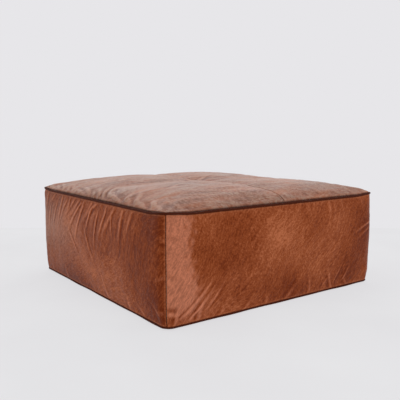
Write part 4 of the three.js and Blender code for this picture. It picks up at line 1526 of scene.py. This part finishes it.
def faceted(name, parts, material):
    """A metal piece from extruded plates, flat on its faces."""
    points, faces = solid(parts)
    mesh = bpy.data.meshes.new(name)
    mesh.from_pydata(points.tolist(), [], faces)
    mesh.materials.append(material)
    piece = bpy.data.objects.new(name, mesh)
    bpy.context.scene.collection.objects.link(piece)
    return piece


class POUF_OT_zip(bpy.types.Operator):
    """Builds the zip in the base: tapes, teeth, stops, slider and pull tab"""

    bl_idname = "pouf.zip_fastener"
    bl_label = "Zip"

    def execute(self, context):
        sizes = context.scene.pouf_sizes
        form = Form(sizes)
        brass = finish("antique_brass")
        row_low, row_high = ZIP_ROW
        middle = (row_low.z + row_high.z) / 2
        for place, sign in (("front", -1), ("back", 1)):
            self.tape(place)
            self.teeth(form, place, sign, middle, brass)
        for place, sign in (("left", -1), ("right", 1)):
            low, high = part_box(f"zip_stop_{place}")
            outline = rounded(high.x - low.x, high.y - low.y, 0.6 * MM, ((low.x + high.x) / 2, 0))
            stop = faceted(f"zip_end_{place}", [extruded(outline, low.z, high.z, 0.3 * MM)], brass)
            self.settle(stop, "pouf", f"zip_stop_{place}")
        self.settle(self.slider(brass), "zip_slider", "zip_slider")
        self.settle(self.tab(brass), "zip_pull_tab", "zip_pull_tab")
        return {"FINISHED"}

    @staticmethod
    def settle(piece, body, node):
        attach(piece, body)
        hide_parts(node)

    @staticmethod
    def tape(place):
        """A woven tape with a thicker, ribbed edge beside the teeth."""
        low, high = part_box(f"zip_tape_{place}")
        along = np.linspace(low.x, high.x, 240)
        across = np.linspace(low.y, high.y, 15)
        x, y = np.meshgrid(along, across, indexing="ij")
        inner = np.abs(y) - min(abs(low.y), abs(high.y))
        rib = 0.12 * MM * np.sin(np.clip(inner / (2.4 * MM), 0, 1) * 2 * math.pi)
        face = low.z + 0.15 * MM + rib + 0.05 * MM * np.sin(x * 900)
        points = np.stack([x, y, face], -1)
        tape = make_grid(f"tape_{place}", points, finish("zip_tape_weave"), flip=True)
        thicken(tape, high.z - low.z - 0.3 * MM)
        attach(tape, "pouf")
        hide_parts(f"zip_tape_{place}")

    @staticmethod
    def teeth(form, place, sign, middle, brass):
        """A row of cast teeth: each a block that clasps the tape, with a nose that meets the other row."""
        low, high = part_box(f"zip_row_{place}")
        away = (abs(low.y) + abs(high.y)) / 2
        width, tall = high.y - low.y, high.z - low.z
        inward = -sign
        block = rounded(1.15 * MM, width * 0.62, 0.2 * MM, (0, -inward * width * 0.19))
        nose = rounded(0.8 * MM, width * 0.6, 0.3 * MM, (0, inward * width * 0.2))
        block = extruded(block, -tall / 2, tall / 2, 0.18 * MM)
        nose = extruded(nose, -tall / 3, tall / 3, 0.2 * MM)
        points, faces = solid([block, nose])
        mesh = bpy.data.meshes.new("tooth")
        mesh.from_pydata(points.tolist(), [], faces)
        tooth = bpy.data.objects.new("tooth", mesh)
        pitch = form.sizes.tooth_pitch
        shift = pitch / 2 if sign > 0 else 0
        ends = (low.x + 0.8 * MM + shift, high.x - 1.6 * MM + shift)
        path = [(x, sign * away, middle) for x in ends]
        row = copies_along(f"teeth_{place}", path, tooth, pitch, brass, 3)
        row.data.shade_flat()
        bpy.data.objects.remove(tooth)
        POUF_OT_zip.settle(row, "pouf", f"zip_row_{place}")

    @staticmethod
    def slider(brass):
        """Two shield-shaped plates over and under the teeth, the post between, and the bridge for the tab."""
        low, high = SLIDER
        x, long, width = (low.x + high.x) / 2, high.x - low.x, high.y - low.y
        plate, bevel, weld = 1.2 * MM, 0.25 * MM, 0.05 * MM
        row = (ZIP_ROW[0].z + ZIP_ROW[1].z) / 2
        top_face, face = high.z, 2 * row - high.z
        half_outline = [  # from the slider's tail to its nose, as shares of its length and width
            (-0.5, 0.28), (-0.1, 0.33), (0.3, 0.5), (0.45, 0.5), (0.5, 0.42)
        ]
        near = [(x + along * long, -across * width) for along, across in half_outline]
        far = [(place, -across) for place, across in reversed(near)]
        outline = [*near, (x + 0.4 * long, 0.0), *far]
        bridge_wide, bridge_long, bridge_thick = 1.6 * MM, 7 * MM, 1 * MM
        post = rounded(2 * MM, 0.6 * MM, bevel, (x + 3 * MM, 0))
        bridge = rounded(bridge_long, bridge_wide, 0.5 * MM, (x, 0))
        parts = [
            extruded(outline, top_face - plate, top_face, bevel),
            extruded(outline, face, face + plate, bevel),
            extruded(post, face + plate - weld, top_face - plate + weld, 0.02 * MM),
            extruded(bridge, low.z, low.z + bridge_thick, bevel),
        ]
        for sign in (-1, 1):
            leg = rounded(1 * MM, bridge_wide, 0.3 * MM, (x + sign * 3 * MM, 0))
            parts.append(extruded(leg, low.z + 0.6 * MM, face + 0.1 * MM, 0.02 * MM))
        return faceted("slider", parts, brass)

    @staticmethod
    def tab(brass):
        """A flat pull tab with bevelled rims, and a window that clears the bridge."""
        low, high = PULL_TAB
        x_near, x_far, half = low.x, high.x, (high.y - low.y) / 2
        bar, window_end, window_half = x_near + 0.8 * MM, x_near + 0.4 * MM + 4.6 * MM, 1.3 * MM
        count, bevel = 12, 0.15 * MM
        round_end = [
            (x_far - half + half * math.cos(a), half * math.sin(a))
            for a in np.linspace(-math.pi / 2, math.pi / 2, count)
        ]
        outer = [(x_near, -half), (window_end, -half), *round_end, (window_end, half), (x_near, half)]
        inner = [(bar, -window_half), (window_end, -window_half)]
        inner += [(window_end, -window_half + 2 * window_half * k / (count - 1)) for k in range(count)]
        inner += [(window_end, window_half), (bar, window_half)]
        outer, inner = np.array(outer), np.array(inner)
        centre = np.array([(x_near + x_far) / 2, 0.0])
        spans = outer - centre
        tight = centre + spans * (1 - bevel / np.linalg.norm(spans, axis=1, keepdims=True))
        below = [(inner, low.z), (tight, low.z), (outer, low.z + bevel)]
        above = [(outer, high.z - bevel), (tight, high.z), (inner, high.z)]
        rings = [np.column_stack([outline, np.full(len(outline), z)]) for outline, z in below + above]
        faces = grid_faces(len(rings), len(outer), closed_rows=True, closed_columns=True, flip=True)
        mesh = bpy.data.meshes.new("pull_tab")
        mesh.from_pydata(np.concatenate(rings).tolist(), [], faces.tolist())
        mesh.materials.append(brass)
        piece = bpy.data.objects.new("pull_tab", mesh)
        bpy.context.scene.collection.objects.link(piece)
        return piece


# ------------------------------------------------------------------------------------------------ stage


class POUF_OT_stage(bpy.types.Operator):
    """Sets the studio: a pale floor, soft light all round, and the camera"""

    bl_idname = "pouf.stage"
    bl_label = "Studio"

    CAMERA_PLACE = (-1.2455, -1.6961, 0.5534)
    CAMERA_YAW, CAMERA_PITCH = math.radians(36.24), math.radians(7.04)
    LENS = 49.86
    BRIGHT_WAY = (0.35, 0.55, 0.76)  # towards the room's brighter end
    ROOM = {"From Min": -0.7, "From Max": 0.9, "To Min": 0.45, "To Max": 1.0}
    LAMPS = (  # name, place, aim, size and power of each soft box
        ("overhead", (0.2, 0.6, 2.6), (0.0, 0.0, 0.2), 2.6, 8),
        ("front", (-0.4, -2.9, 2.3), (0.0, 0.0, 0.2), 1.8, 17),
        ("behind", (1.7, 2.9, 1.5), (0.0, 0.0, 0.3), 4.6, 38),
    )

    def execute(self, context):
        scene = context.scene
        scene.view_settings.view_transform = "Standard"
        self.floor()
        self.camera(scene)
        self.light(scene)
        return {"FINISHED"}

    def floor(self):
        """A flat floor, squared up to the camera, that ends a metre behind the pouf's middle."""
        far, near, wide = 1.06, 6.0, 6.0
        ahead = np.array([math.sin(self.CAMERA_YAW), math.cos(self.CAMERA_YAW), 0])
        aside = np.array([ahead[1], -ahead[0], 0])
        steps = np.linspace(-near, far, 9)
        spread = np.linspace(-wide, wide, 9)
        points = np.array([[aside * u + ahead * v for v in steps] for u in spread])
        make_grid("studio_floor", points, finish("studio_floor"))

    def camera(self, scene):
        lens = bpy.data.cameras.new("Camera")
        lens.sensor_width, lens.lens = 36, self.LENS
        camera = bpy.data.objects.new("Camera", lens)
        camera.location = self.CAMERA_PLACE
        camera.rotation_euler = (math.pi / 2 - self.CAMERA_PITCH, 0, -self.CAMERA_YAW)
        scene.collection.objects.link(camera)
        scene.camera = camera

    def light(self, scene):
        """Even light from a pale room, with large soft boxes overhead, in front and behind."""
        world = bpy.data.worlds.new("Studio")
        world.use_nodes = True
        tree = world.node_tree
        seen = tree.nodes["Background"]
        seen.inputs["Color"].default_value = (*scene.pouf_finishes.backdrop, 1)
        room = tree.nodes.new("ShaderNodeBackground")
        room.inputs["Color"].default_value = (1.0, 0.99, 0.985, 1)
        toward = tree.nodes.new("ShaderNodeVectorMath")
        toward.operation = "DOT_PRODUCT"
        toward.inputs[1].default_value = self.BRIGHT_WAY
        ramp = tree.nodes.new("ShaderNodeMapRange")
        for key, value in self.ROOM.items():
            ramp.inputs[key].default_value = value
        place = tree.nodes.new("ShaderNodeTexCoord")
        path = tree.nodes.new("ShaderNodeLightPath")
        either = tree.nodes.new("ShaderNodeMixShader")
        for source, target in (
            (place.outputs["Generated"], toward.inputs[0]),
            (toward.outputs["Value"], ramp.inputs["Value"]),
            (ramp.outputs["Result"], room.inputs["Strength"]),
            (path.outputs["Is Camera Ray"], either.inputs[0]),
            (room.outputs[0], either.inputs[1]),
            (seen.outputs[0], either.inputs[2]),
            (either.outputs[0], tree.nodes["World Output"].inputs["Surface"]),
        ):
            tree.links.new(source, target)
        scene.world = world
        for name, place, aim, size, power in self.LAMPS:
            lamp = bpy.data.lights.new(name, "AREA")
            lamp.shape, lamp.size, lamp.energy = "DISK", size, power
            box = bpy.data.objects.new(name, lamp)
            box.location = place
            x, y, z = np.array(aim) - np.array(place)
            box.rotation_euler = (math.atan2(math.hypot(x, y), -z), 0, math.atan2(y, x) - math.pi / 2)
            box.visible_camera = False
            scene.collection.objects.link(box)


# ----------------------------------------------------------------------------------------------- add-on

OPERATORS = (
    POUF_OT_settle,
    POUF_OT_top,
    POUF_OT_sides,
    POUF_OT_base,
    POUF_OT_piping,
    POUF_OT_stitching,
    POUF_OT_lining,
    POUF_OT_filling,
    POUF_OT_zip,
    POUF_OT_stage,
)


class POUF_PT_sidebar(bpy.types.Panel):
    """Lists the pouf's sizes, finishes and pieces"""

    bl_idname = "POUF_PT_sidebar"
    bl_label = "Leather Pouf"
    bl_space_type = "VIEW_3D"
    bl_region_type = "UI"
    bl_category = "Pouf"

    def draw(self, context):
        for group in (context.scene.pouf_sizes, context.scene.pouf_finishes):
            column = self.layout.column(align=True)
            for key in group.__annotations__:
                column.prop(group, key)
        for operator in OPERATORS:
            self.layout.operator(operator.bl_idname)


CLASSES = (PoufSizes, PoufFinishes, *OPERATORS, POUF_PT_sidebar)


def register():
    for item in CLASSES:
        bpy.utils.register_class(item)
    bpy.types.Scene.pouf_sizes = bpy.props.PointerProperty(type=PoufSizes)
    bpy.types.Scene.pouf_finishes = bpy.props.PointerProperty(type=PoufFinishes)


def unregister():
    del bpy.types.Scene.pouf_finishes
    del bpy.types.Scene.pouf_sizes
    for item in reversed(CLASSES):
        bpy.utils.unregister_class(item)


def main():
    register()
    for operator in OPERATORS:
        group, name = operator.bl_idname.split(".")
        getattr(getattr(bpy.ops, group), name)()


if __name__ == "__main__":
    main()
